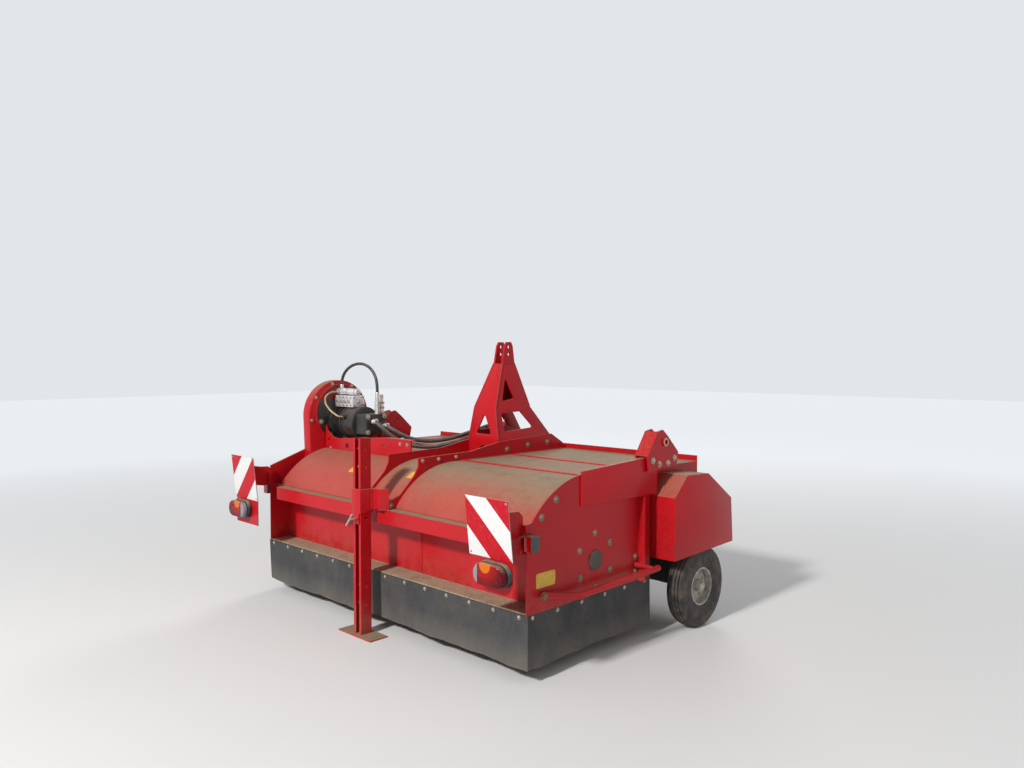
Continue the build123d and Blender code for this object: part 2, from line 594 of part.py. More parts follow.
def make_stand():
    x = (STAND_X - STAND_W / 2, STAND_X + STAND_W / 2)
    z = (FOOT[2], FOOT[2] + STAND_LEN)
    leg = box(x, STAND_Y, z) - box((x[0] + STAND_T, x[1] - STAND_T), (STAND_Y[0] + STAND_T, STAND_Y[1] - STAND_T),
                                   (z[0] - 1, z[1] + 1))
    leg -= box((STAND_X - STAND_SLOT / 2, STAND_X + STAND_SLOT / 2), (STAND_Y[0] - 1, STAND_Y[0] + STAND_T + 1),
               (z[0] - 1, z[1] + 1))
    middle = (STAND_Y[0] + STAND_Y[1]) / 2
    for z_hole in (PIN_Z, PIN_Z + 100, PIN_Z - STAND_LIFT, PIN_Z - STAND_LIFT + 100, z[1] - 60, z[1] - 160):
        leg -= rod_x(PIN_R, (x[0] - 1, x[1] + 1), middle, z_hole)
    foot = box((STAND_X - FOOT[0] / 2, STAND_X + FOOT[0] / 2), (middle - FOOT[1] / 2, middle + FOOT[1] / 2),
               (0, FOOT[2]))
    add("stand_leg", leg + foot)
    out = SLEEVE_GAP + SLEEVE_T
    sx = (x[0] - out, x[1] + out)
    sy = (STAND_Y[0] - out, STAND_Y[1] + out)
    sleeve = box(sx, sy, SLEEVE_Z)
    sleeve -= box((sx[0] + SLEEVE_T, sx[1] - SLEEVE_T), (sy[0] + SLEEVE_T, sy[1] - SLEEVE_T),
                  (SLEEVE_Z[0] - 1, SLEEVE_Z[1] + 1))
    tongue = box((STAND_X - 24, STAND_X + 24), (sy[0], sy[0] + SLEEVE_T), (SLEEVE_Z[0] - 60, SLEEVE_Z[0] + 1))
    tongue -= rod_y(PIN_R + SEAT, (sy[0] - 1, sy[0] + 9), STAND_X, PIN_Z)
    back = [(-WEB_X - 6, -20 - SEAT), (-WEB_X + 30, sy[1] - 1), (WEB_X - 30, sy[1] - 1), (WEB_X + 6, -20 - SEAT),
            (WEB_X - 6, -20 - SEAT), (WEB_X - 38, sy[1] + 7), (-WEB_X + 38, sy[1] + 7), (-WEB_X + 6, -20 - SEAT)]
    hat = along_z(back, (BEAM_Z[1] + 2, SLEEVE_Z[1]))
    hat -= box((sx[0] + SLEEVE_T, sx[1] - SLEEVE_T), (sy[0] + SLEEVE_T, sy[1] - SLEEVE_T),
               (SLEEVE_Z[0] - 1, SLEEVE_Z[1] + 1))
    add("stand_sleeve", sleeve + tongue + hat)
    pin = rod_y(PIN_R, (sy[0] - 40, STAND_Y[1] - STAND_T - 6), STAND_X, PIN_Z)
    bar = Pos(STAND_X, sy[0] - 44, PIN_Z) * Rot(0, 40, 0) * Cylinder(6, 90)
    add("stand_pin", pin + bar)


def make_boards():
    """Warning boards with their bars, lamps and side markers, one set at each end."""
    lean = Pos(0, BOARD_Y, BOARD_MID_Z) * Rot(BOARD_LEAN, 0, 0) * Pos(0, -BOARD_Y, -BOARD_MID_Z)
    wide = (BOARD_X - BOARD / 2, BOARD_X + BOARD / 2)
    ends = (BOARD_MID_Z - BOARD / 2, BOARD_MID_Z + BOARD / 2)
    board = lean * box(wide, (BOARD_Y - BOARD_T, BOARD_Y), ends)
    back = BOARD_Y + SEAT
    carrier = lean * box((wide[0] + 4, wide[1] - 4), (back, back + CARRIER_T), (ends[0], ends[1] - 6))
    behind = (LAMP_REAR + SEAT, LAMP_REAR + SEAT + CARRIER_T)
    low = LAMP_Z - LAMP[2] / 2 - 40
    carrier += box((wide[0] + 4, wide[1] - 4), behind, (low, ends[0] + 8))
    near = behind[1] - 2
    arm = [(near, ARM_Z[0]), (near, ends[1] - 60), (-85, 830), (-27, 826), (-SEAT, 800), (-SEAT, ARM_Z[0] - 12),
           (-60, ARM_Z[0] - 20)]
    lean_rear = BOARD_Y - math.sin(math.radians(BOARD_LEAN)) * (BOARD / 2 - 60)
    arm.insert(2, (lean_rear + CARRIER_T, ends[1] - 60))
    arm[1] = (near, ends[0] + 40)
    carrier += along_x(arm, ARM_X)
    carrier += box((ARM_X[0] - ARM_FOLD, ARM_X[0] + 1), (ARM_FOLD_Y, ARM_FOLD_Y + 3), (ARM_Z[0] - 9, ARM_Z[1] + 24))
    carrier += box((ARM_X[0], HALF_W), (-SEAT - 6, -SEAT), ARM_Z)
    add("board_brackets", carrier, other_side(carrier))
    add("warning_boards", board, other_side(board))
    split = LAMP_REAR - LAMP[1] * 0.45
    body = barrel((LAMP_X - LAMP[0] / 2, LAMP_X + LAMP[0] / 2), (split, LAMP_REAR), LAMP_Z, LAMP[2])
    lens = barrel((LAMP_X - LAMP[0] / 2 + 5, LAMP_X + LAMP[0] / 2 - 5), (LAMP_REAR - LAMP[1], split - SEAT),
                  LAMP_Z, LAMP[2] - 10)
    add("lamp_bodies", body, other_side(body))
    add("lamp_lenses", lens, other_side(lens))
    marker = box(MARKER_X, MARKER_Y, MARKER_Z)
    add("side_markers", marker, other_side(marker))


def barrel(x, y, z, height):
    """A lamp housing, round at its two ends."""
    r = height / 2
    shape = box((x[0] + r, x[1] - r), y, (z - r, z + r))
    return shape + rod_y(r, y, x[0] + r, z) + rod_y(r, y, x[1] - r, z)


def make_wheels():
    for side, name in ((1, "outer"), (-1, "drive")):
        tyre, rim = wheel()
        if side < 0:
            tyre, rim = other_side(tyre), other_side(rim)
        add("tyre_" + name, tyre)
        add("rim_" + name, rim)


def wheel():
    """A small ribbed gauge wheel about the X axis: tyre and rim."""
    half = WHEEL_W / 2
    ring = [(-half + 12, RIM_R), (-half, RIM_R + 60), (-half + 24, WHEEL_R), (half - 24, WHEEL_R),
            (half, RIM_R + 60), (half - 12, RIM_R)]
    tyre = spun(ring)
    t = half - 12
    disc = [(-t, RIM_R - SEAT), (t, RIM_R - SEAT), (t, RIM_R - 8), (6, RIM_R - 8), (6, 34), (34, 34),
            (34, AXLE_R + SEAT), (-34, AXLE_R + SEAT), (-34, 34), (-6, 34), (-6, RIM_R - 8), (-t, RIM_R - 8)]
    rim = spun(disc)
    return tyre, rim


def spun(ring):
    """A ring of (x, radius) points turned about the wheel's axle."""
    face = make_face(Polyline(*[(WHEEL_X + x, WHEEL_Y + r, WHEEL_R) for x, r in ring], close=True))
    return revolve(face, axis=Axis((WHEEL_X, WHEEL_Y, WHEEL_R), (1, 0, 0)), revolution_arc=360)


def make_wheel_legs():
    x0 = HALF_W - PLATE
    leg = box((x0, x0 + LEG_T), (WHEEL_Y - LEG_W / 2, WHEEL_Y + LEG_W / 2), (WHEEL_R - 45, HOOD_TOP - 70))
    leg += rod_x(AXLE_R, (x0 + LEG_T - 1, WHEEL_X + 40), WHEEL_Y, WHEEL_R)
    leg += rod_x(30, (x0 + LEG_T - 1, WHEEL_X - 34 - SEAT), WHEEL_Y, WHEEL_R)
    add("wheel_legs", leg, other_side(leg))


def make_guards():
    x = (INNER_X, GUARD_X)
    outer = along_x(GUARD_OUTLINE, x)
    face = make_face(Polyline(*[(x[0] - 1, y, z) for y, z in GUARD_OUTLINE], close=True))
    inner = extrude(offset(face, amount=-GUARD_T, kind=Kind.INTERSECTION), amount=GUARD_X - GUARD_T - x[0] + 1,
                    dir=(1, 0, 0))
    guard = outer - inner
    guard -= box((x[0] - 2, GUARD_X - GUARD_T), (1005 + GUARD_T, 1626 - GUARD_T), (400, 470))
    add("wheel_guards", guard, other_side(guard))


def make_guard_rod():
    rod = tube(ROD_POINTS, ROD_R, ROD_BEND, ROD_SIDES)
    rod -= box((HALF_W - ROD_BEND, HALF_W + SEAT), (0, PLATE_REAR_Y), (PLATE_LOW, ROD_POINTS[0][2] + ROD_BEND))
    x = ROD_POINTS[2][0]
    rod += box((HALF_W + FLANGE_OUT + SEAT, x - 4), (FLANGE_Y, FLANGE_Y + PLATE), ROD_TONGUE_Z)
    add("guard_rod", rod)


def main():
    make_hood()
    make_end_plates()
    make_front()
    make_webs()
    make_tower()
    make_cross_plate()
    make_side_boxes()
    make_hitch()
    make_beams()
    make_rotor()
    make_drive()
    make_stand()
    make_wheels()
    make_wheel_legs()
    make_guards()
    make_boards()
    make_guard_rod()
    make_hoses()
    os.makedirs("parts", exist_ok=True)
    for name, shape in nodes.items():
        export_step(shape, "parts/" + name + ".step")


if __name__ == "__main__":
    main()
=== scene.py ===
import math
import bmesh
import bpy
from mathutils import Matrix, Vector


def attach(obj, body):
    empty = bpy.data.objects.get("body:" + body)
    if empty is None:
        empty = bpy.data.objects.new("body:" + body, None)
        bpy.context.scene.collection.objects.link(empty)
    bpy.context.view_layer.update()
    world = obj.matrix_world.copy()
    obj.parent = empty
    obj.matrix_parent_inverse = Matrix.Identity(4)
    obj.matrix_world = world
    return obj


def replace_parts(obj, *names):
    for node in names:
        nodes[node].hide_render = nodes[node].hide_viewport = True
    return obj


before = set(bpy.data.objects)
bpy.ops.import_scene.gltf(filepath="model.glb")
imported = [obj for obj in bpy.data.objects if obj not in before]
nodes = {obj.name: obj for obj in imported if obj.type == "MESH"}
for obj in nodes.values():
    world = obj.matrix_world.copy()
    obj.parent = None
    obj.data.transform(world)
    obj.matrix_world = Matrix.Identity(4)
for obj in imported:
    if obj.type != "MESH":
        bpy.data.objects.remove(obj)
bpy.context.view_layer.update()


# Camera: low in front of the machine's outer end, as the photograph was taken, with a
# moderately wide lens that takes in the whole of it.
bpy.ops.object.select_all(action="DESELECT")
tilt, turn = math.radians(88.2), math.radians(44.3)
bpy.ops.object.camera_add(location=(3.794, -3.4645, 1.544), rotation=(tilt, 0, turn))
camera = bpy.context.object
camera.name = "camera"
camera.data.sensor_width = 36
camera.data.lens = 28.79
bpy.context.scene.camera = camera


# Hoses: black rubber pressure hoses with a braid inside, pushed on crimped steel ends.
# Two run from the motor over the hood to the tower, and a thinner one loops from the
# valve block to the motor's port.
class Wire:
    """A socket of a material; arithmetic on it adds Math nodes."""

    def __init__(self, finish, socket):
        self.finish = finish
        self.socket = socket

    def maths(self, operation, *values):
        return self.finish.node("ShaderNodeMath", {"operation": operation}, values)

    def __add__(self, other):
        return self.maths("ADD", self, other)

    def __sub__(self, other):
        return self.maths("SUBTRACT", self, other)

    def __rsub__(self, other):
        return self.maths("SUBTRACT", other, self)

    def __mul__(self, other):
        return self.maths("MULTIPLY", self, other)

    def __truediv__(self, other):
        return self.maths("DIVIDE", self, other)

    def __mod__(self, other):
        return self.maths("FLOORED_MODULO", self, other)

    def __abs__(self):
        return self.maths("ABSOLUTE", self)

    def __gt__(self, other):
        return self.maths("GREATER_THAN", self, other)

    def __lt__(self, other):
        return self.maths("LESS_THAN", self, other)

    __radd__ = __add__
    __rmul__ = __mul__

    def between(self, low, high):
        """0 below low, 1 above high, straight between."""
        values = (self, low, high, 0.0, 1.0)
        return self.finish.node("ShaderNodeMapRange", {"clamp": True}, values)

    def either(self, other):
        """The larger of two masks."""
        return self.maths("MAXIMUM", self, other)


class Finish:
    """A material for one of the machine's surfaces."""

    def __init__(self, name, **sockets):
        self.material = bpy.data.materials.new(name)
        self.material.use_nodes = True
        self.tree = self.material.node_tree
        self.shader = self.tree.nodes["Principled BSDF"]
        for socket, value in sockets.items():
            self.feed(socket.replace("_", " "), value)

    def node(self, kind, settings, values, out=0):
        """Add a node, set it up, then link or set its inputs, given in order or by name."""
        node = self.tree.nodes.new(kind)
        for name, value in settings.items():
            setattr(node, name, value)
        pairs = values.items() if isinstance(values, dict) else enumerate(values)
        for key, value in pairs:
            self.join(node.inputs[key], value)
        return Wire(self, node.outputs[out])

    def join(self, socket, value):
        if isinstance(value, Wire):
            self.tree.links.new(value.socket, socket)
        elif isinstance(value, tuple) and len(value) == 3 and socket.type == "RGBA":
            socket.default_value = (*value, 1)
        else:
            socket.default_value = value

    def feed(self, socket, value):
        self.join(self.shader.inputs[socket], value)

    def place(self):
        return self.node("ShaderNodeTexCoord", {}, (), "Object")

    def facing(self, axis):
        """How far the surface faces along an axis, -1 to 1."""
        normal = self.node("ShaderNodeNewGeometry", {}, (), "Normal")
        return self.node("ShaderNodeSeparateXYZ", {}, (normal,), axis)

    def along(self, axis):
        return self.node("ShaderNodeSeparateXYZ", {}, (self.place(),), axis)

    def noise(self, scale, detail=3.0, rough=0.55, stretch=(1, 1, 1)):
        at = self.place()
        if stretch != (1, 1, 1):
            at = self.node("ShaderNodeMapping", {}, {"Vector": at, "Scale": stretch})
        values = {"Vector": at, "Scale": scale, "Detail": detail, "Roughness": rough}
        return self.node("ShaderNodeTexNoise", {}, values, "Fac")

    def mix(self, share, under, over):
        """From one colour to another. The node's colour sockets are inputs 6 and 7, output 2."""
        values = {"Factor": share, 6: under, 7: over}
        return self.node("ShaderNodeMix", {"data_type": "RGBA"}, values, 2)

    def bump(self, height, depth, strength=1.0):
        values = {"Height": height, "Distance": depth, "Strength": strength}
        self.feed("Normal", self.node("ShaderNodeBump", {}, values, "Normal"))


MIDDLE = 687.5           # mm from the skirt's front face to the frame's origin
CASE_FACE = -1092        # x of the belt guard's inner face, in mm


def spot(x, y, z):
    """A point given in mm from the machine's centre line, the skirt's front and the floor."""
    return Vector((x / 1000, (y - MIDDLE) / 1000, z / 1000))


def all_facing(direction, *points):
    """Places for set_out, given in mm, that face one way."""
    return [(spot(*point), direction) for point in points]


def pick(*pieces):
    """Select these pieces alone, with the first one active."""
    bpy.ops.object.select_all(action="DESELECT")
    for piece in pieces:
        piece.select_set(True)
    bpy.context.view_layer.objects.active = pieces[0]


def finished(piece, finish, body="frame"):
    """Give a piece its one finish, and the body that it rides on."""
    piece.data.materials.clear()
    piece.data.materials.append(finish.material)
    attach(piece, body)
    return piece


def turned(name, profile, steps=24, sharp=35):
    """A turned piece that stands on the origin: a circle extruded and scaled along +Z
    from point to point of a profile of (height, radius) in mm, and closed at both ends."""
    bpy.ops.object.select_all(action="DESELECT")
    height, radius = profile[0]
    bpy.ops.mesh.primitive_circle_add(vertices=steps, radius=radius / 1000)
    piece = bpy.context.object
    piece.name = name
    bpy.ops.object.mode_set(mode="EDIT")
    bpy.ops.mesh.select_all(action="SELECT")
    bpy.ops.transform.translate(value=(0, 0, height / 1000))
    for (low, before), (high, after) in zip(profile, profile[1:]):
        rise = (0, 0, (high - low) / 1000)
        bpy.ops.mesh.extrude_edges_move(TRANSFORM_OT_translate={"value": rise})
        share = after / before
        bpy.ops.transform.resize(value=(share, share, 1), center_override=(0, 0, high / 1000))
    bpy.ops.mesh.select_all(action="SELECT")
    bpy.ops.mesh.remove_doubles(threshold=0.00002)
    bpy.ops.mesh.fill_holes(sides=0)
    bpy.ops.mesh.select_all(action="SELECT")
    bpy.ops.mesh.normals_make_consistent(inside=False)
    bpy.ops.object.mode_set(mode="OBJECT")
    bpy.ops.object.shade_smooth_by_angle(angle=math.radians(sharp))
    return piece


def joined(name, pieces):
    """Join pieces into one."""
    pick(*pieces)
    if len(pieces) > 1:
        bpy.ops.object.join()
    pieces[0].name = name
    return pieces[0]


def set_out(name, pattern, places, finish, body="frame"):
    """Copy a pattern to each (place, direction it faces), as one piece that rides on a body."""
    copies = []
    for at, facing in places:
        copy = pattern.copy()
        copy.data = pattern.data.copy()
        bpy.context.scene.collection.objects.link(copy)
        turn = Vector(facing).to_track_quat("Z", "Y").to_matrix().to_4x4()
        copy.data.transform(Matrix.Translation(at) @ turn)
        copies.append(copy)
    return finished(joined(name, copies), finish, body)


def put_away(*patterns):
    """Remove patterns that have been copied to their places."""
    for pattern in patterns:
        bpy.data.objects.remove(pattern)


RUBBER = Finish("hose_rubber_dusty", Roughness=0.5)
grime = RUBBER.noise(60, 4).between(0.45, 0.8)
settled = RUBBER.facing("Z").between(0.1, 1.0) * RUBBER.noise(25, 4).between(0.25, 0.65)
film = settled * 0.7 + grime * 0.3
RUBBER.feed("Base Color", RUBBER.mix(film, (0.028, 0.028, 0.029), (0.24, 0.20, 0.15)))
RUBBER.feed("Roughness", 0.45 + settled * 0.4)
RUBBER.bump(RUBBER.noise(400, 2), 0.0006, 0.4)

PLATED = Finish("plated_steel_fittings", Metallic=1.0)
dull = PLATED.noise(35, 4).between(0.35, 0.75)
PLATED.feed("Base Color", PLATED.mix(dull, (0.72, 0.71, 0.68), (0.36, 0.32, 0.26)))
PLATED.feed("Roughness", 0.24 + dull * 0.4)
PLATED.bump(PLATED.noise(300, 2), 0.0004, 0.3)

SUPPLY = [(-657.4, 455, 1124), (-630, 455, 1124), (-600, 461, 1110), (-574, 474, 1084),
          (-549, 496, 1052), (-520, 525, 1020), (-484, 560, 992), (-440, 601, 973),
          (-390, 646, 963), (-335, 693, 962), (-282, 748, 972), (-238, 812, 989),
          (-205, 884, 1010), (-184, 962, 1031), (-172, 1050, 1050), (-168, 1145, 1066),
          (-168, 1235, 1066)]
RETURN = [(-657.4, 545, 1092), (-626, 545, 1092), (-594, 552, 1080), (-563, 568, 1061),
          (-533, 592, 1040), (-503, 622, 1020), (-470, 662, 1003), (-434, 709, 994),
          (-395, 762, 992), (-350, 820, 1000), (-302, 885, 1017), (-268, 955, 1040),
          (-245, 1030, 1062), (-230, 1100, 1080), (-220, 1168, 1096), (-220, 1235, 1096)]
LOOP = [(48, 480, 1336.6), (48, 480, 1376), (60, 482, 1418), (88, 485, 1454), (129, 488, 1482),
        (178, 491, 1500), (230, 495, 1508), (282, 498, 1505), (331, 501, 1490),
        (373, 504, 1463), (403, 506, 1426), (419, 507, 1384), (424, 507, 1338),
        (424, 507, 1290)]
LOOP = [(CASE_FACE + x, y, z) for x, y, z in LOOP]
HOSES = {"hose_supply": (SUPPLY, 0.014), "hose_return": (RETURN, 0.014),
         "hose_loop": (LOOP, 0.010)}
for name, (points, radius) in HOSES.items():
    line = bpy.data.curves.new(name + "_rubber", "CURVE")
    line.dimensions = "3D"
    line.bevel_depth = radius
    line.bevel_resolution = 5
    line.resolution_u = 8
    spline = line.splines.new("NURBS")
    spline.points.add(len(points) - 1)
    for point, place in zip(spline.points, points):
        point.co = (*spot(*place), 1)
    spline.order_u = 3
    spline.use_endpoint_u = True
    hose = bpy.data.objects.new(name + "_rubber", line)
    bpy.context.scene.collection.objects.link(hose)
    line.materials.append(RUBBER.material)
    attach(hose, "frame")
    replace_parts(hose, name)
    tuple(spot(*points[0]))
    radius * 2

# the crimped ferrule and hexagon nut at each hose end
PORTS = ((455, 1124), (545, 1092))       # y and z of the motor's two side ports
ferrule = turned("ferrule", [(0, 17), (2, 19), (3, 19), (7, 17.4), (11, 19), (15, 17.4), (19, 19),
                             (23, 17.4), (27, 19), (33, 18.6), (36, 16), (36, 14.2)], 32)
nut = turned("hose_nut", [(0, 15), (1.5, 18.4), (13, 18.4), (14.5, 15)], 6, 20)
small = turned("small_ferrule", [(0, 12.5), (2, 14), (6, 12.9), (10, 14), (14, 12.9), (18, 14),
                                 (24, 12), (24, 10.2)])
set_out("hose_nuts", nut, all_facing((1, 0, 0), *[(-656.5, *port) for port in PORTS]), PLATED)
hose_ends = all_facing((1, 0, 0), *[(-642, *port) for port in PORTS])
hose_ends += all_facing((0, -1, 0), SUPPLY[-1], RETURN[-1])
set_out("hose_ferrules", ferrule, hose_ends, PLATED)
loop_ends = all_facing((0, 0, 1), *[(x, y, z + 1) for x, y, z in (LOOP[0], LOOP[-1])])
set_out("loop_ferrules", small, loop_ends, PLATED)
put_away(ferrule, nut, small)

# a black cable tie holds the two long hoses together over the hood
tie = turned("hose_tie", [(0, 31), (0, 33), (5, 33), (5, 31), (0, 31)], 32)
TIE = Finish("tie_nylon", Base_Color=(0.02, 0.02, 0.02), Roughness=0.45)
tie.data.transform(Matrix.Diagonal((1.0, 0.62, 1.0, 1.0)))
tie_place = all_facing((0.1, -1, -0.1), (-175, 1025, 1057))
set_out("hose_ties", tie, tie_place, TIE)
put_away(tie)


# Hood: long sheets of steel rolled over the rotor, folded up at the rear and lapped at
# two seams. The red enamel still shows on the curve, under a beige film of dust that
# lies closed over everything flat.
DUST = (0.33, 0.255, 0.165)


def red_paint(name, settle=1.0, veil=0.0, splash=0.0, level=0.35, ledge=0.0, worn_at=()):
    """Red enamel under dust: settle on what faces up, over a thin veil, splash below a level in
    metres, a crust below the height of a ledge, given a lighter tone as painted light, and bare
    strips worn across at some y."""
    paint = Finish(name, Coat_Roughness=0.15, Specular_IOR_Level=0.2)
    cloud = paint.noise(1.7, 5, 0.6)
    grain = paint.noise(70, 4, 0.7)
    specks = paint.noise(260, 3, 0.6)
    up = paint.facing("Z").between(0.12, 0.98)
    film = up * up * 0.95 + (cloud - 0.5) * 0.5 + (grain - 0.5) * 1.1
    film = film.between(0.12, 0.95) * settle
    film = up.between(0.05, 0.3) * (film.either(veil) if veil else film)
    bare = 0.0
    for y in worn_at:
        beside = abs(paint.along("Y") - y) + (grain - 0.5) * 0.02
        bare = beside.between(0.018, 0.008).either(bare)
    film = film * (1.0 - bare * 0.85)
    haze = (grain * 0.5 + specks * 0.35 + cloud * 0.25).between(0.55, 0.9) * 0.2
    if splash:
        low = (level + 0.2 - paint.along("Z")).between(0.0, 0.3)
        spatter = (paint.noise(14, 6, 0.65) * 0.7 + specks * 0.3).between(0.40, 0.68)
        haze = haze.either(low * spatter * splash)
    crust_dust_and_painted_light = (ledge - paint.along("Z")).between(0.0, 0.004) if ledge else 0.0
    dust = film.either(haze).either(crust_dust_and_painted_light)
    fade = paint.mix(cloud.between(0.3, 0.75), (0.55, 0.005, 0.012), (0.42, 0.004, 0.010))
    scars = (paint.noise(42, 4, 0.75) * 0.6 + paint.noise(5, 3) * 0.4).between(0.655, 0.670)
    rusty = paint.mix(paint.noise(120, 3), (0.09, 0.035, 0.02), (0.24, 0.10, 0.05))
    # painted light: the crust's thick dust takes a lighter tone, to make up for the light that
    # reaches the ledge less
    tone = paint.mix(crust_dust_and_painted_light, DUST, (0.52, 0.43, 0.31))
    tone = paint.mix(grain.between(0.3, 0.7), tone, (0.29, 0.20, 0.125))
    damp = paint.noise(11, 7, 0.72).between(0.48, 0.68) * 0.55
    tone = paint.mix(damp, tone, (0.20, 0.15, 0.085))
    paint.feed("Base Color", paint.mix(dust, paint.mix(scars * 0.7, fade, rusty), tone))
    paint.feed("Roughness", 0.34 + dust * 0.5 + scars * 0.25 + bare * 0.3)
    paint.feed("Coat Weight", 0.14 - dust.either(bare) * 0.14)
    height = paint.noise(1.6, 2) + grain * dust * 0.04 + specks * dust * 0.02 - scars * 0.02
    paint.bump(height, 0.006, 0.5)
    return paint


def dress(finish, *names):
    """Give CAD nodes a finish."""
    for name in names:
        for slot in nodes[name].material_slots:
            slot.material = finish.material


HOOD_SEAMS = (-0.1575, 0.2625)           # their y in metres
HOOD_RED = red_paint("red_paint_under_field_dust", veil=0.34, worn_at=HOOD_SEAMS)
THIN_DUST_RED = red_paint("red_paint_under_thin_dust", settle=0.62, veil=0.3,
                          worn_at=HOOD_SEAMS)
dress(HOOD_RED, "hood_outer_side", "hood_centre")
dress(THIN_DUST_RED, "hood_drive_side")


# Fasteners: hexagon bolts on washers, and dome-headed bolts on the outer faces, all
# plated and gone dull or rusty.
def bolt(name, across):
    """A hexagon head, chamfered above, on a round washer. Across is its width in mm."""
    thick = 2.2
    corner = across / 1.732
    washer = turned(name + "_washer", [(0, across * 0.90), (1.4, across * 0.95),
                                       (thick, across * 0.92)], 20)
    head = turned(name, [(thick, corner), (thick + across * 0.32, corner),
                         (thick + across * 0.40, corner * 0.82)], 6, 20)
    return joined(name, [head, washer])


def dome(name, across):
    """A button head on a washer."""
    head = across * 0.55
    profile = [(0, across * 0.85), (1.8, across * 0.85), (1.8, head), (4, head * 0.96),
               (6.5, head * 0.75), (8, head * 0.4), (8.4, head * 0.1)]
    return turned(name, profile, 20)


M8 = bolt("bolt_13", 13)
M12 = bolt("bolt_19", 19)
BUTTON = dome("button_bolt", 22)
SMALL_BUTTON = dome("button_small", 13)

BOLTED = Finish("bolt_plating_dull", Metallic=0.85)
worn = BOLTED.noise(220, 4).between(0.35, 0.7)
BOLTED.feed("Base Color", BOLTED.mix(worn, (0.60, 0.55, 0.46), (0.27, 0.18, 0.11)))
BOLTED.feed("Roughness", 0.38 + worn * 0.4)

DOMED = Finish("dome_bolts_rusted", Metallic=0.45)
worn = DOMED.noise(240, 4).between(0.35, 0.7)
DOMED.feed("Base Color", DOMED.mix(worn, (0.36, 0.25, 0.18), (0.13, 0.075, 0.05)))
DOMED.feed("Roughness", 0.45 + worn * 0.3)


# End plates: flat plates that close the hood's two ends and carry the rotor's bearings
# under a plain round cover. A folded flange near the rear takes the wheel guard, and a
# stepped box along the hood's edge carries the hitch bracket.
PLATE_FACE = 1180        # x of the plates' outer faces, in mm
ROTOR_AT = (513, 507)    # y and z of the rotor's axis


def on_both_sides(x, *points):
    """Places for set_out at points (y, z) on both of the machine's sides, facing outwards."""
    return [(spot(side * x, y, z), (side, 0, 0)) for side in (-1, 1) for y, z in points]


def on_circle(x, centre, radius, degrees, side=1):
    """Places for set_out on a circle round a centre (y, z), facing to one side."""
    angles = [math.radians(each) for each in degrees]
    return [(spot(x, centre[0] + radius * math.cos(angle), centre[1] + radius * math.sin(angle)),
             (side, 0, 0)) for angle in angles]


def softened(node, name, width, finish, windows=0):
    """A copy of a CAD node with its edges rounded to a width in mm, and its windows' corners
    to a radius, in the node's stead."""
    piece = nodes[node].copy()
    piece.data = nodes[node].data.copy()
    piece.name = name
    piece.parent = None
    bpy.context.scene.collection.objects.link(piece)
    pick(piece)
    bpy.ops.object.mode_set(mode="EDIT")
    bpy.ops.mesh.select_all(action="SELECT")
    bpy.ops.mesh.remove_doubles(threshold=0.00001)
    bpy.ops.mesh.dissolve_limited(angle_limit=math.radians(0.6))
    bpy.ops.object.mode_set(mode="OBJECT")
    if windows:
        form = bmesh.new()
        form.from_mesh(piece.data)
        inner = [edge for edge in form.edges if len(edge.link_faces) == 2
                 and not edge.is_convex and edge.calc_length() < 0.03
                 and edge.calc_face_angle() > 1.2]
        for edge in inner:
            reach = windows / 1000 * math.tan(edge.calc_face_angle() / 2)
            bmesh.ops.bevel(form, geom=[edge], offset=reach, segments=8, profile=0.5,
                            affect="EDGES")
        form.to_mesh(piece.data)
        form.free()
    edge = piece.modifiers.new("edge", "BEVEL")
    edge.width = width / 1000
    edge.segments = 3
    edge.limit_method = "ANGLE"
    edge.angle_limit = math.radians(35)
    bpy.ops.object.modifier_apply(modifier="edge")
    bpy.ops.object.shade_smooth_by_angle(angle=math.radians(32))
    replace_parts(finished(piece, finish), node)


PLATE_RED = red_paint("red_paint_end_plates", settle=0.8, splash=0.35, level=0.36)
dress(PLATE_RED, "end_plate_outer", "end_plate_drive")
softened("side_boxes", "side_boxes_rounded", 2.0, PLATE_RED)
plate_bolts = on_circle(PLATE_FACE, ROTOR_AT, 142, range(31, 391, 60))
plate_bolts += on_both_sides(PLATE_FACE, (103, 784), (208, 858), (864, 465), (864, 385))
set_out("end_plate_bolts", BUTTON, plate_bolts, DOMED)
COVER = Finish("bearing_cover_grey", Metallic=0.3)
film = COVER.noise(90, 5).between(0.3, 0.75)
COVER.feed("Base Color", COVER.mix(film, (0.055, 0.055, 0.06), (0.16, 0.12, 0.09)))
COVER.feed("Roughness", 0.55 + film * 0.3)
dress(COVER, "rotor_bearings")
cover = turned("bearing_cover", [(0, 50), (1.5, 51), (3, 50), (4, 47), (4.6, 30), (4.8, 6)], 48)
set_out("bearing_covers", cover, all_facing((1, 0, 0), (PLATE_FACE + 4, *ROTOR_AT)), COVER)
put_away(cover)


# Guard rod: a bent red tube that shields the outer end, bolted at its front and turned
# back to the plate at its rear.
def run_of_rod(name, radius, points, finish, sides):
    """A round bar along points in mm, as a mesh that rides on the frame."""
    line = bpy.data.curves.new(name, "CURVE")
    line.dimensions = "3D"
    line.bevel_depth = radius / 1000
    line.bevel_resolution = sides
    line.use_fill_caps = True
    track = line.splines.new("POLY")
    track.points.add(len(points) - 1)
    for point, place in zip(track.points, points):
        point.co = (*spot(*place), 1)
    bar = bpy.data.objects.new(name, line)
    bpy.context.scene.collection.objects.link(bar)
    pick(bar)
    bpy.ops.object.convert(target="MESH")
    bpy.ops.object.shade_smooth_by_angle(angle=math.radians(35))
    return finished(bpy.context.object, finish)


ROD_RED = red_paint("red_paint_rod", settle=0.12)
dress(ROD_RED, "guard_rod")
run_of_rod("guard_rod_return", 14, [(PLATE_FACE, 852, 424), (1214, 880, 414), (1246, 925, 399)],
           ROD_RED, 5)
set_out("guard_rod_bolt", BUTTON, all_facing((0.25, -1, 0.1), (1212, 90, 413)), DOMED)


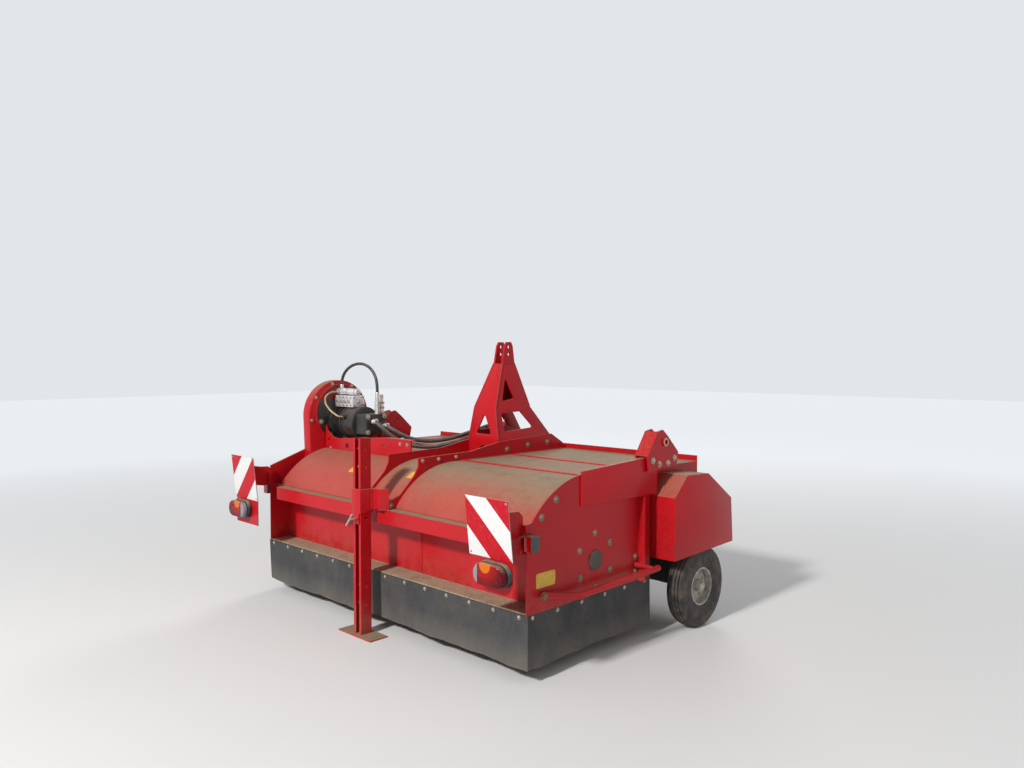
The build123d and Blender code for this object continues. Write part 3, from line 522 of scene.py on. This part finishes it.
# Labels: bare stickers of thin yellow film with rounded corners, stuck on the end plates
# and on the hood's curve.
def label(name, centre, facing, width, height, target=None):
    """A thin sticker at a place; one with a target is laid down onto that node."""
    bpy.ops.object.select_all(action="DESELECT")
    bpy.ops.mesh.primitive_grid_add(x_subdivisions=12, y_subdivisions=12, size=1)
    sticker = bpy.context.object
    sticker.name = name
    bpy.ops.transform.resize(value=(width / 1000, height / 1000, 1))
    bpy.ops.object.transform_apply(location=True, rotation=True, scale=True)
    corners = bmesh.new()
    corners.from_mesh(sticker.data)
    radius = min(width, height) / 2000 * 0.3
    for vert in corners.verts:
        past = Vector((abs(vert.co.x) - width / 2000 + radius,
                       abs(vert.co.y) - height / 2000 + radius))
        if past.x > 0 and past.y > 0 and past.length > radius:
            shift = past.length - radius
            vert.co.x -= math.copysign(shift * past.x / past.length, vert.co.x)
            vert.co.y -= math.copysign(shift * past.y / past.length, vert.co.y)
    corners.to_mesh(sticker.data)
    corners.free()
    turn = Vector(facing).to_track_quat("Z", "Y").to_matrix().to_4x4()
    sticker.data.transform(Matrix.Translation(centre) @ turn)
    if target:
        fit = sticker.modifiers.new("fit", "SHRINKWRAP")
        fit.target = nodes[target]
        fit.wrap_method = "NEAREST_SURFACEPOINT"
        fit.offset = 0.0006
        bpy.ops.object.modifier_apply(modifier="fit")
    thick = sticker.modifiers.new("thick", "SOLIDIFY")
    thick.thickness = 0.0008
    thick.offset = 1
    bpy.ops.object.modifier_apply(modifier="thick")
    finished(sticker, STICKER)


STICKER = Finish("label_yellow_bare")
stain = STICKER.noise(50, 5, 0.65).between(0.42, 0.72)
STICKER.feed("Base Color", STICKER.mix(stain * 0.6, (0.80, 0.47, 0.03), DUST))
STICKER.feed("Roughness", 0.4 + stain * 0.4)
for name, side in (("label_end_plate", 1), ("label_drive_plate", -1)):
    label(name, spot(side * (PLATE_FACE + 0.6), 133, 482), (side, 0, 0), 137, 72)
label("label_hood_centre", spot(92, 205, 872), (0, -0.52, 0.85), 84, 66, "hood_centre")
label("label_hood_drive", spot(-452, 182, 856), (0, -0.52, 0.85), 96, 66, "hood_drive_side")


# Front: a square tube across the hood's foot, and a panel that stands back under it,
# with a ledge below where dust lies thick.
FRONT_RED = red_paint("red_paint_front", settle=1.25, splash=0.45, level=0.33, ledge=0.339)
dress(FRONT_RED, "front_panel", "cross_beams")


def block(name, low, high, bevel, corner=0):
    """A block between two corners in mm, its edges rounded, those along X by corner too."""
    bpy.ops.object.select_all(action="DESELECT")
    low, high = spot(*low), spot(*high)
    bpy.ops.mesh.primitive_cube_add(size=1, location=(low + high) / 2, scale=high - low)
    piece = bpy.context.object
    piece.name = name
    bpy.ops.object.transform_apply(location=True, rotation=True, scale=True)
    if corner:
        form = bmesh.new()
        form.from_mesh(piece.data)
        along = [edge for edge in form.edges
                 if abs(edge.verts[0].co.x - edge.verts[1].co.x) > 0.001]
        bmesh.ops.bevel(form, geom=along, offset=corner / 1000, segments=8, profile=0.5,
                        affect="EDGES")
        form.to_mesh(piece.data)
        form.free()
    edge = piece.modifiers.new("edge", "BEVEL")
    edge.width = bevel / 1000
    edge.segments = 2
    bpy.ops.object.modifier_apply(modifier="edge")
    bpy.ops.object.shade_smooth_by_angle(angle=math.radians(30))
    return piece


# the panel's two lapped joints, and the bolts that hold the rear beam under the hood
laps = [block("lap", (x - 14, 131.5, 340), (x + 14, 135.2, 688), 1.2) for x in (-300, 236)]
finished(joined("front_panel_laps", laps), FRONT_RED)
beam_bolts = [(x, 1500, 875) for x in (-1090, -640, -200, 200, 640, 1090)]
set_out("rear_beam_bolts", M12, all_facing((0, 1, 0), *beam_bolts), BOLTED)


# Skirts: sheets of rubber belting round the rotor's chamber. They hang from the lip, the
# end plates and the rear edge on dome bolts, and have gone wavy and grey with dust.
SKIRT = Finish("skirt_rubber_dusty", Roughness=0.8)
low = (0.20 - SKIRT.along("Z")).between(0.0, 0.13)
smear = SKIRT.noise(5, 6, 0.65, (1, 1, 0.6)).between(0.35, 0.75)
powder = SKIRT.noise(120, 4, 0.65).between(0.35, 0.8)
film = (smear * 0.24 + powder * 0.16 + low * 0.30).between(0.0, 1.0)
SKIRT.feed("Base Color", SKIRT.mix(film, (0.024, 0.027, 0.032), (0.22, 0.19, 0.155)))
SKIRT.bump(SKIRT.noise(240, 3) * 0.3 + SKIRT.noise(18, 4), 0.002, 0.6)


WAVES = [(0.006, 9.0, 0.4), (0.004, 21.0, 1.3), (0.0025, 43.0, 2.2)]   # depth, pitch, phase
STRIP = 0.04                             # width in metres of the strips that bend


def skirt(name, low, high, across):
    """A hanging sheet between two corners in mm, pushed in and out along its lower edge."""
    bpy.ops.object.select_all(action="DESELECT")
    low, high = spot(*low), spot(*high)
    size = high - low
    bpy.ops.mesh.primitive_cube_add(size=1, location=(low + high) / 2, scale=size)
    sheet = bpy.context.object
    sheet.name = name
    bpy.ops.object.transform_apply(location=True, rotation=True, scale=True)
    run, push = (0, 1) if across else (1, 0)
    form = bmesh.new()
    form.from_mesh(sheet.data)
    for count, axis in ((int(size[run] / STRIP), run), (8, 2)):
        for step in range(1, count):
            at = low.copy()
            at[axis] = low[axis] + size[axis] * step / count
            normal = Vector((0, 0, 0))
            normal[axis] = 1
            everything = form.verts[:] + form.edges[:] + form.faces[:]
            bmesh.ops.bisect_plane(form, geom=everything, plane_co=at, plane_no=normal)
    for vert in form.verts:
        hang = (high.z - vert.co.z) / size.z
        place = vert.co[run]
        wave = sum(depth * math.sin(place * pitch + phase) for depth, pitch, phase in WAVES)
        vert.co[push] += wave * hang ** 1.3 * (1 if vert.co[push] > 0 or across else -1)
        vert.co.z += 0.003 * math.sin(place * 3.7 + 1) * hang
    form.to_mesh(sheet.data)
    form.free()
    bpy.ops.object.shade_smooth_by_angle(angle=math.radians(40))
    return sheet


SKIRT_LOW, SKIRT_HIGH = 72, 329.7        # z of the front and side skirts' edges, in mm
front = [skirt("front", (-1188, -0.3, SKIRT_LOW), (1188, 7.7, SKIRT_HIGH), True)]
sides = [skirt("side", (x, 8.3, SKIRT_LOW), (x + 8, 1000, SKIRT_HIGH), False)
         for x in (PLATE_FACE - 8, -PLATE_FACE)]
rear = [skirt("rear", (-1171, 1500.3, 152), (1171, 1508.3, 660), True)]
for name, sheets, node in (("skirt_front_sheet", front, "skirt_front"),
                           ("skirt_side_sheets", sides, "skirt_sides"),
                           ("skirt_rear_sheet", rear, "skirt_rear")):
    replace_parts(finished(joined(name, sheets), SKIRT), node)
along = range(-1131, 1132, 174)
skirt_bolts = all_facing((0, -1, 0), *[(x, -0.5, 315) for x in along])
skirt_bolts += on_both_sides(PLATE_FACE, *[(y, 314) for y in (40, 220, 405, 594, 766, 951)])
skirt_bolts += all_facing((0, 1, 0), *[(x, 1508.3, 630) for x in along])
set_out("skirt_bolts", SMALL_BUTTON, skirt_bolts, BOLTED)


# Webs and tower: two long plates on edge across the hood, and the welded tower between
# them, with twin bored ears on top. The cross plate ties the webs to the belt guard.
TOWER_RED = red_paint("red_paint_tower", settle=0.7)
dress(TOWER_RED, "web_plates", "top_link_ears", "cross_plate", "coupling_holder")
softened("tower", "tower_rounded", 1.5, TOWER_RED, windows=12)
softened("tower_sides", "tower_sides_rounded", 1.5, TOWER_RED, windows=12)
web_bolts = on_both_sides(145, (139, 772), (-2, 722), (917, 966), (1110, 980), (1300, 985))
set_out("web_bolts", BUTTON, web_bolts, DOMED)
small_bolts = on_both_sides(145, (225, 954), (346, 954), (483, 954))
small_bolts += all_facing((0, -1, 0), (-1020, 372, 930), (-700, 372, 960), (-250, 372, 1010),
                          (-180, 372, 1010))
set_out("web_small_bolts", M8, small_bolts, BOLTED)


def weld(name, *runs):
    """Beads of weld along runs of points in mm, as one piece."""
    beads = [run_of_rod(name, 3.5, run, WELD, 2) for run in runs]
    finished(joined(name, beads), WELD)


WELD = Finish("weld_beads_painted", Roughness=0.45)
ripple = WELD.noise(170, 3)
burnt = ripple.between(0.3, 0.8)
WELD.feed("Base Color", WELD.mix(burnt, (0.40, 0.010, 0.012), (0.24, 0.05, 0.03)))
WELD.bump(ripple, 0.003, 1.0)
seams = []
for side in (-1, 1):
    for run in ([(135, 847, 1030), (98, 862, 1228), (42, 980, 1510)],
                [(98, 1178, 1228), (42, 1092, 1510)], [(42, 980, 1511), (42, 1092, 1511)],
                [(147, 560, 932), (147, 925, 932)], [(147, 975, 932), (147, 1480, 932)]):
        seams.append([(side * x, y, z) for x, y, z in run])
weld("tower_welds", *seams)


# Hitch brackets: pairs of thick plates on top of the side boxes, each pair with a bored
# boss for a pin, and bolted through.
HITCH_RED = red_paint("red_paint_hitch", settle=0.6)
dress(HITCH_RED, "hitch_brackets")
hitch_bolts = on_both_sides(1240.3, (940, 985), (1000, 962), (1085, 962), (1150, 985))
set_out("hitch_bolts", M12, hitch_bolts, BOLTED)
pin_rim = turned("pin_rim", [(0, 14.4), (0, 23), (0.8, 23), (1.2, 22.4), (1.2, 15), (0, 14.4)], 32)
set_out("hitch_boss_rims", pin_rim, on_both_sides(1250.3, (1052, 1080)), BOLTED)
put_away(pin_rim)


# Belt guard: a deep pressed box over the belt, rolled round at both ends, with a rim
# round the opening in which the motor's disc sits.
GUARD_RED = red_paint("red_paint_guard", settle=0.7, splash=0.2, level=0.3)
softened("belt_guard", "belt_guard_rounded", 7.0, GUARD_RED)
rim = turned("guard_rim", [(0, 190), (0, 199), (5, 199), (7, 197), (7, 192), (5, 190),
                           (0, 190)], 64, 30)
set_out("belt_guard_rim", rim, all_facing((1, 0, 0), (CASE_FACE, 500, 1165)), GUARD_RED)
put_away(rim)
GUARD_HEAD = (490, 1150)                 # y and z of its upper round end, in mm
guard_bolts = on_circle(CASE_FACE, GUARD_HEAD, 223, (-20, 20, 62, 104, 146, 188))
guard_bolts += on_circle(-1171.7, GUARD_HEAD, 222, range(-8, 200, 28), side=-1)
set_out("belt_guard_bolts", M8, guard_bolts, BOLTED)

# the cover over the belt's lower wheel, on the drive side's end plate
cover = block("drive_cover", (-1184, 290, 395), (-1180.3, 740, 745), 0.9, corner=70)
finished(cover, GUARD_RED)
cover_bolts = [(325, 430), (515, 420), (705, 430), (315, 570), (715, 570), (325, 710), (515, 720),
               (705, 710)]
set_out("drive_cover_bolts", M8,
        all_facing((-1, 0, 0), *[(-1184, *place) for place in cover_bolts]), BOLTED)


# Motor: a black cast hydraulic motor on a round disc, with a square end block where the
# two long hoses leave. Oil film holds the dust.
MOTOR = Finish("motor_black_oily")
oily = MOTOR.noise(16, 5, 0.6).between(0.35, 0.7)
settled = MOTOR.facing("Z").between(0.2, 1.0) * MOTOR.noise(50, 4).between(0.3, 0.65)
shell = MOTOR.mix(oily, (0.016, 0.016, 0.018), (0.05, 0.045, 0.04))
# painted shade: the disc's top is painted a dark red that stands in for the guard's red inside, in
# shadow above the disc
painted = (MOTOR.along("Z") > 1.255) * (MOTOR.along("X") < -1.076)
shell = MOTOR.mix(painted, shell, (0.13, 0.004, 0.006))
MOTOR.feed("Base Color", MOTOR.mix(settled * 0.6, shell, (0.20, 0.15, 0.10)))
MOTOR.feed("Roughness", 0.32 + oily * 0.2 + settled * 0.3)
MOTOR.bump(MOTOR.noise(180, 3), 0.0015, 0.7)
softened("drive_motor", "drive_motor_rounded", 3.0, MOTOR)
band = turned("motor_band", [(0, 104), (0, 110), (2, 111), (10, 111), (12, 110), (12, 104),
                             (0, 104)], 64, 30)
slim = turned("motor_fin", [(0, 90), (0, 98), (4, 98), (4, 90), (0, 90)], 64, 30)
MOTOR_AT = (490, 1105)                   # y and z of its axis, in mm
PORT_FACE = -657.7                       # x of its end block's face, in mm
bands = all_facing((1, 0, 0), *[(x, *MOTOR_AT) for x in (-936, -790)])
set_out("motor_bands", band, bands, MOTOR)
fins = all_facing((1, 0, 0), *[(-1060 + 18 * i, *MOTOR_AT) for i in range(6)])
set_out("motor_fins", slim, fins, MOTOR)
flange = turned("port_flange", [(0, 30), (7, 30), (9, 28), (9, 12)], 40, 30)
flanges = all_facing((1, 0, 0), *[(PORT_FACE, *port) for port in PORTS])
set_out("motor_port_flanges", flange, flanges, MOTOR)
put_away(band, slim, flange)
motor_bolts = all_facing((1, 0, 0), (PORT_FACE, 424, 1053), (PORT_FACE, 556, 1157),
                         (PORT_FACE, 424, 1157), (PORT_FACE, 556, 1053))
disc_bolts = on_circle(-1079.7, (500, 1165), 172, range(-80, 260, 40))
motor_bolts += [place for place in disc_bolts if place[0].z < 1.215]
set_out("motor_bolts", M12, motor_bolts, BOLTED)


# Valve block: a machined aluminium manifold on the motor, with socket screws in its
# front, a round spool housing on top, and a tan plated pipe with its nuts.
ALLOY = Finish("valve_alloy_machined", Metallic=0.6)
mill = ALLOY.noise(38, 4, 0.6, (0.25, 1, 1)).between(0.3, 0.75)
grime = ALLOY.noise(22, 5, 0.7).between(0.5, 0.75)
milled = ALLOY.mix(mill, (0.90, 0.90, 0.91), (0.66, 0.67, 0.68))
ALLOY.feed("Base Color", ALLOY.mix(grime * 0.25, milled, (0.22, 0.18, 0.13)))
ALLOY.feed("Roughness", 0.28 + mill * 0.15 + grime * 0.35)
ALLOY.bump(mill, 0.0008, 0.4)
softened("valve_block", "valve_block_rounded", 2.5, ALLOY)
socket = turned("socket_screw", [(0, 6.5), (5, 6.5), (6, 5.6), (6, 3.2), (2.4, 3.2)], 16, 30)
plug = turned("hex_plug", [(0, 15), (3, 15), (3, 12), (10, 12), (12, 10)], 6, 20)
screws = all_facing((0, -1, 0), *[(-1044 + 43 * i, 437, z) for i in range(5)
                                  for z in (1224, 1276)])
screws += all_facing((1, 0, 0), *[(-855, y, z) for y in (449, 523) for z in (1224, 1276)])
set_out("valve_socket_screws", socket, screws, BOLTED)
plugs = all_facing((0, -1, 0), *[(x, 437, 1250) for x in (-1023, -980, -937, -894)])
plugs += all_facing((1, 0, 0), (-855, 486, 1250), (-850, 480, 1312.3))
plugs += all_facing((0, -1, 0), (-1052, 456, 1312.3), (-880, 392, 1150))
set_out("valve_plugs", plug, plugs, PLATED)
collar = turned("spool_collar", [(0, 23), (0, 26.5), (1, 27.5), (9, 27.5), (10, 26.5), (10, 23),
                                 (0, 23)], 36, 30)
collars = all_facing((1, 0, 0), *[(x, 480, 1312.3) for x in (-1030, -955, -870)])
set_out("valve_spool_collars", collar, collars, PLATED)
put_away(socket, plug, collar)
PIPE = Finish("pipe_tan_plating", Metallic=0.55)
patina = PIPE.noise(30, 4).between(0.3, 0.7)
PIPE.feed("Base Color", PIPE.mix(patina, (0.62, 0.47, 0.30), (0.42, 0.29, 0.17)))
PIPE.feed("Roughness", 0.35 + patina * 0.3)
dress(PIPE, "valve_pipe")


# Fittings: plated unions in the motor's ports and quick couplings at the long hoses'
# ends, parked in a plate on the web.
dress(PLATED, "motor_fittings", "hose_couplings")
union = turned("union_nut", [(0, 18), (1, 20.5), (14, 20.5), (15, 18)], 6, 20)
unions = all_facing((0, 0, 1), *[(x, y, z) for x, y in ((-668, 507), (-682, 552))
                                 for z in (1172, 1205, 1238)])
set_out("motor_union_nuts", union, unions, PLATED)
knurl = turned("coupling_sleeve", [(0, 20), (0, 21.6), (3, 21.6), (4, 20.6), (7, 20.6), (8, 21.6),
                                   (11, 21.6), (12, 20.6), (15, 20.6), (16, 21.6), (19, 21.6),
                                   (19, 20), (0, 20)], 36, 25)
sleeves = all_facing((0, 1, 0), (-168, 1288, 1066), (-220, 1288, 1096))
set_out("coupling_sleeves", knurl, sleeves, PLATED)
put_away(union, knurl)


# Rotor: a closed drum with welded lugs, and forty hammer flails, each on a bolt. Their
# lengths rise and fall twice along the drum, and work has worn the paint off them.
DRUM = red_paint("red_paint_drum_worn", settle=0.3, splash=0.8, level=0.5)
dress(DRUM, "rotor_drum")
FLAIL = Finish("flail_steel_worn", Metallic=0.75)
rust = FLAIL.noise(36, 5, 0.65).between(0.38, 0.66)
FLAIL.feed("Base Color", FLAIL.mix(rust, (0.34, 0.31, 0.28), (0.17, 0.085, 0.045)))
FLAIL.feed("Roughness", 0.42 + rust * 0.4)
FLAIL.bump(rust, 0.002, 0.6)
dress(FLAIL, "flails")
FLAILS = 40
FIRST_X, LAST_X = -960, 1072             # of the flails, in mm
pivots = []
for i in range(FLAILS):
    x = FIRST_X + i * (LAST_X - FIRST_X) / (FLAILS - 1)
    turn = math.radians(100 * i)
    at = spot(x, ROTOR_AT[0] - 112 * math.sin(turn), ROTOR_AT[1] + 112 * math.cos(turn))
    for side in (-1, 1):
        pivots.append((at + Vector((side * 0.0183, 0, 0)), (side, 0, 0)))
pivot = turned("flail_pivot", [(0, 11), (7, 11), (8.5, 9)], 6, 20)
set_out("flail_pivots", pivot, pivots, BOLTED, body="rotor")
put_away(pivot)


# Parking stand: a channel post that slides in a sleeve behind a folded bracket, held by
# a cross-handled pin, on a square foot plate.
STAND_RED = red_paint("red_paint_stand", settle=1.2, splash=1.0, level=0.03)
dress(STAND_RED, "stand_leg")
softened("stand_sleeve", "stand_sleeve_rounded", 1.5, FRONT_RED)
dress(PLATED, "stand_pin")
weld("sleeve_welds", [(-20, -72, 702), (-20, -72, 818)], [(60, -72, 702), (60, -72, 818)],
     [(-151, -21, 703), (-115, -66, 703)], [(151, -21, 703), (115, -66, 703)])


# Warning boards: thin sheets with a red and white diagonal on the front, bare metal
# behind, screwed to a red bar that folds round to the end plate.
BOARD_FACE = Finish("board_stripes", Roughness=0.35, Specular_IOR_Level=0.15)
BOARD_AT = (1135, -205, 773)             # the outer board's middle, in mm
LEAN = math.radians(6.5)
side = abs(BOARD_FACE.along("X")) - BOARD_AT[0] / 1000
height = (BOARD_FACE.along("Z") - BOARD_AT[2] / 1000) / math.cos(LEAN)
stripe = (side + height) / math.sqrt(2) % 0.2 > 0.1
front = BOARD_FACE.facing("Y") < -0.5
scuff = BOARD_FACE.noise(60, 5, 0.65).between(0.5, 0.8)
print_face = BOARD_FACE.mix(stripe, (0.74, 0.735, 0.73), (0.50, 0.004, 0.016))
metal = BOARD_FACE.mix(scuff, (0.42, 0.42, 0.41), (0.25, 0.22, 0.18))
sheet = BOARD_FACE.mix(front, metal, print_face)
BOARD_FACE.feed("Base Color", BOARD_FACE.mix(scuff * 0.2, sheet, DUST))
dress(BOARD_FACE, "warning_boards")
CARRIER_RED = red_paint("red_paint_board_bars", settle=0.9)
dress(CARRIER_RED, "board_brackets")
ahead = Vector((0, -math.cos(LEAN), -math.sin(LEAN)))
uphill = Vector((0, -math.sin(LEAN), math.cos(LEAN)))
board_screws = []
for side in (-1, 1):
    centre = spot(side * BOARD_AT[0], *BOARD_AT[1:]) + ahead * 0.003
    for across in (-0.128, 0.128):
        for up in (-0.128, 0.128):
            board_screws.append((centre + Vector((across, 0, 0)) + uphill * up, ahead))
screw = turned("board_screw", [(0, 6), (1, 6), (2.4, 4.5), (3, 2)], 14, 30)
set_out("board_screws", screw, board_screws, BOLTED)
put_away(screw)


# Lamps: rear clusters in black housings under the boards, with a red lens, an amber
# window above and a clear one at the inner end, and a small side marker on each plate.
HOUSING = Finish("lamp_housing_dusty")
film = HOUSING.facing("Z").between(0.2, 0.9) * HOUSING.noise(60, 4).between(0.2, 0.55)
HOUSING.feed("Base Color", HOUSING.mix(film * 0.85, (0.022, 0.024, 0.028), DUST))
HOUSING.feed("Roughness", 0.45 + film * 0.4)
HOUSING.bump(HOUSING.noise(300, 2), 0.0005, 0.4)
softened("lamp_bodies", "lamp_bodies_rounded", 6.0, HOUSING)
LENS = Finish("lamp_lens", Roughness=0.12, Specular_IOR_Level=0.15)
AMBER_AT, AMBER_RADIUS = (1.156, 0.614), 0.035       # x and z of the window, in metres
side = abs(LENS.along("X"))
height = LENS.along("Z")
apart = (side - AMBER_AT[0]) * (side - AMBER_AT[0])
apart = apart + (height - AMBER_AT[1]) * (height - AMBER_AT[1])
amber = apart < AMBER_RADIUS * AMBER_RADIUS
clear = side < 1.106
ribs = side.maths("SINE", side * 1400)
# painted shade: the red lens is painted darker the farther it lies from the amber window
shade = apart.maths("SQRT", apart).between(0.03, 0.10)
red = LENS.mix(shade, (0.42, 0.006, 0.004), (0.12, 0.001, 0.006))
window = LENS.mix(amber, red, (0.62, 0.15, 0.004))
window = LENS.mix(clear, window, (0.26, 0.27, 0.29))
film = LENS.facing("Z").between(0.4, 1.0) * 0.6
LENS.feed("Base Color", LENS.mix(film, window, DUST))
LENS.bump(ribs, 0.0008, 0.3)
softened("lamp_lenses", "lamp_lenses_rounded", 9.0, LENS)
seal = turned("lens_screw", [(0, 5), (1.5, 5), (2.2, 3.5)], 14, 30)
lens_screws = [(spot(side * 1172 + across, -251, z), (0, -1, 0)) for side in (-1, 1)
               for across, z in ((-50, 590), (60, 548))]
set_out("lens_screws", seal, lens_screws, HOUSING)
put_away(seal)
MARKER = Finish("side_marker_case", Coat_Weight=0.3)
front = MARKER.facing("Y") < -0.5
film = MARKER.facing("Z").between(0.3, 0.9) * 0.8
case = MARKER.mix(front, (0.035, 0.045, 0.05), (0.62, 0.012, 0.02))
MARKER.feed("Base Color", MARKER.mix(film, case, DUST))
MARKER.feed("Roughness", 0.5 - front * 0.3)
softened("side_markers", "side_markers_rounded", 3.0, MARKER)


# Gauge wheels: small pneumatic wheels with ribbed implement tyres on pressed rims, each
# on a stub axle from a leg bolted to the end plate, under a folded eight-sided guard.
WHEELS = ((1, "outer"), (-1, "drive"))
WHEEL_AT = (1325, 235)                   # y and z of their axis, in mm
TYRE = Finish("tyre_rubber_dusty")
caked = TYRE.noise(20, 5, 0.65).between(0.4, 0.7)
film = TYRE.facing("Z").between(0.1, 0.9) * 0.5
film = (caked * 0.5).either(film)
TYRE.feed("Base Color", TYRE.mix(film, (0.020, 0.020, 0.021), (0.24, 0.18, 0.12)))
TYRE.feed("Roughness", 0.7 + caked * 0.2)
TYRE.bump(TYRE.noise(220, 3), 0.001, 0.6)
half = [(0, 235), (7, 235), (9, 232), (10, 225), (13, 225), (14, 232), (16, 234.5), (26, 233),
        (28, 230), (29, 223), (32, 222), (33, 229), (36, 230), (43, 226), (48, 218), (50, 210),
        (53, 196), (55.5, 180), (56, 166), (54, 148), (50, 134), (49, 129), (46, 124),
        (45.5, 116), (44, 110), (44, 108.2)]
ring = [(-x, r) for x, r in reversed(half)] + half[1:] + [(-44, 108.2)]
tread = turned("tyre_tread", ring, 72, 30)
for side, end in WHEELS:
    piece = set_out("tyre_" + end + "_ribbed", tread,
                    all_facing((side, 0, 0), (side * 1270, *WHEEL_AT)), TYRE,
                    body="wheel_" + end)
    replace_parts(piece, "tyre_" + end)
put_away(tread)
RIM = Finish("rim_silver_paint", Metallic=0.25)
worn = RIM.noise(30, 5, 0.65).between(0.42, 0.7)
RIM.feed("Base Color", RIM.mix(worn, (0.50, 0.49, 0.46), (0.26, 0.19, 0.12)))
RIM.feed("Roughness", 0.42 + worn * 0.35)
RIM.bump(RIM.noise(90, 3), 0.0008, 0.5)
dress(RIM, "rim_outer", "rim_drive")
hub = turned("hub_cap", [(0, 33), (2, 33), (2, 27), (12, 26), (16, 22), (18, 12), (18.4, 3)],
             36, 30)
for side, end in WHEELS:
    nuts = on_circle(side * 1276, WHEEL_AT, 66, range(20, 380, 72), side)
    set_out("rim_bolts_" + end, M12, nuts, BOLTED, body="wheel_" + end)
    set_out("hub_cap_" + end, hub, all_facing((side, 0, 0), (side * 1304, *WHEEL_AT)), RIM,
            body="wheel_" + end)
put_away(hub)
LEG_RED = red_paint("red_paint_wheel_legs", settle=0.8, splash=0.9, level=0.4)
dress(LEG_RED, "wheel_legs")
softened("wheel_guards", "wheel_guards_rounded", 2.0, HOOD_RED)
put_away(M8, M12, BUTTON, SMALL_BUTTON)


# Floor and light: a pale studio floor that runs out into a pale backdrop, a key lamp in
# front, a weak fill from the right, and a wide lamp for the rear.
bpy.ops.object.select_all(action="DESELECT")
bpy.ops.mesh.primitive_plane_add(size=60)
floor = bpy.context.object
floor.name = "floor"
SKY = (0.763, 0.787, 0.82)
FLOOR = Finish("floor_pale", Roughness=0.9, Emission_Strength=1.0)
apart = FLOOR.node("ShaderNodeVectorMath", {"operation": "LENGTH"}, (FLOOR.place(),), "Value")
rays = [FLOOR.node("ShaderNodeLightPath", {}, (), "Is " + kind + " Ray")
        for kind in ("Camera", "Glossy", "Transmission")]
far = apart.between(2.5, 9.0) * rays[0].either(rays[1]).either(rays[2])
FLOOR.feed("Base Color", FLOOR.mix(far, (0.80, 0.79, 0.77), (0, 0, 0)))
FLOOR.feed("Emission Color", FLOOR.mix(far, (0, 0, 0), SKY))
floor.data.materials.append(FLOOR.material)
world = bpy.data.worlds.new("studio")
bpy.context.scene.world = world
world.use_nodes = True
sky = world.node_tree.nodes["Background"]
sky.inputs["Color"].default_value = (0.93, 0.96, 1.0, 1)
seen = world.node_tree.nodes.new("ShaderNodeLightPath")
strength = world.node_tree.nodes.new("ShaderNodeMapRange")
strength.inputs["To Min"].default_value = 0.32
strength.inputs["To Max"].default_value = 0.82
link = world.node_tree.links.new
ray = seen.outputs["Is Camera Ray"]
for kind in ("Glossy", "Transmission"):
    either = world.node_tree.nodes.new("ShaderNodeMath")
    either.operation = "MAXIMUM"
    link(ray, either.inputs[0])
    link(seen.outputs["Is " + kind + " Ray"], either.inputs[1])
    ray = either.outputs[0]
link(ray, strength.inputs["Value"])
link(strength.outputs[0], sky.inputs["Strength"])
for name, place, size, power in (("key", (1.5, -10.6, 7.4), 1.1, 1350),
                                 ("fill", (6.5, 1.5, 3.0), 4.0, 25),
                                 ("rear", (-5.5, 10.0, 6.0), 5.0, 420)):
    bpy.ops.object.light_add(type="AREA", location=place)
    lamp = bpy.context.object
    lamp.name = "lamp_" + name
    lamp.data.size = size
    lamp.data.energy = power
    aim = Vector((0, 0, 0.6)) - Vector(place)
    lamp.rotation_euler = aim.to_track_quat("-Z", "Y").to_euler()
bpy.context.scene.view_settings.view_transform = "Standard"
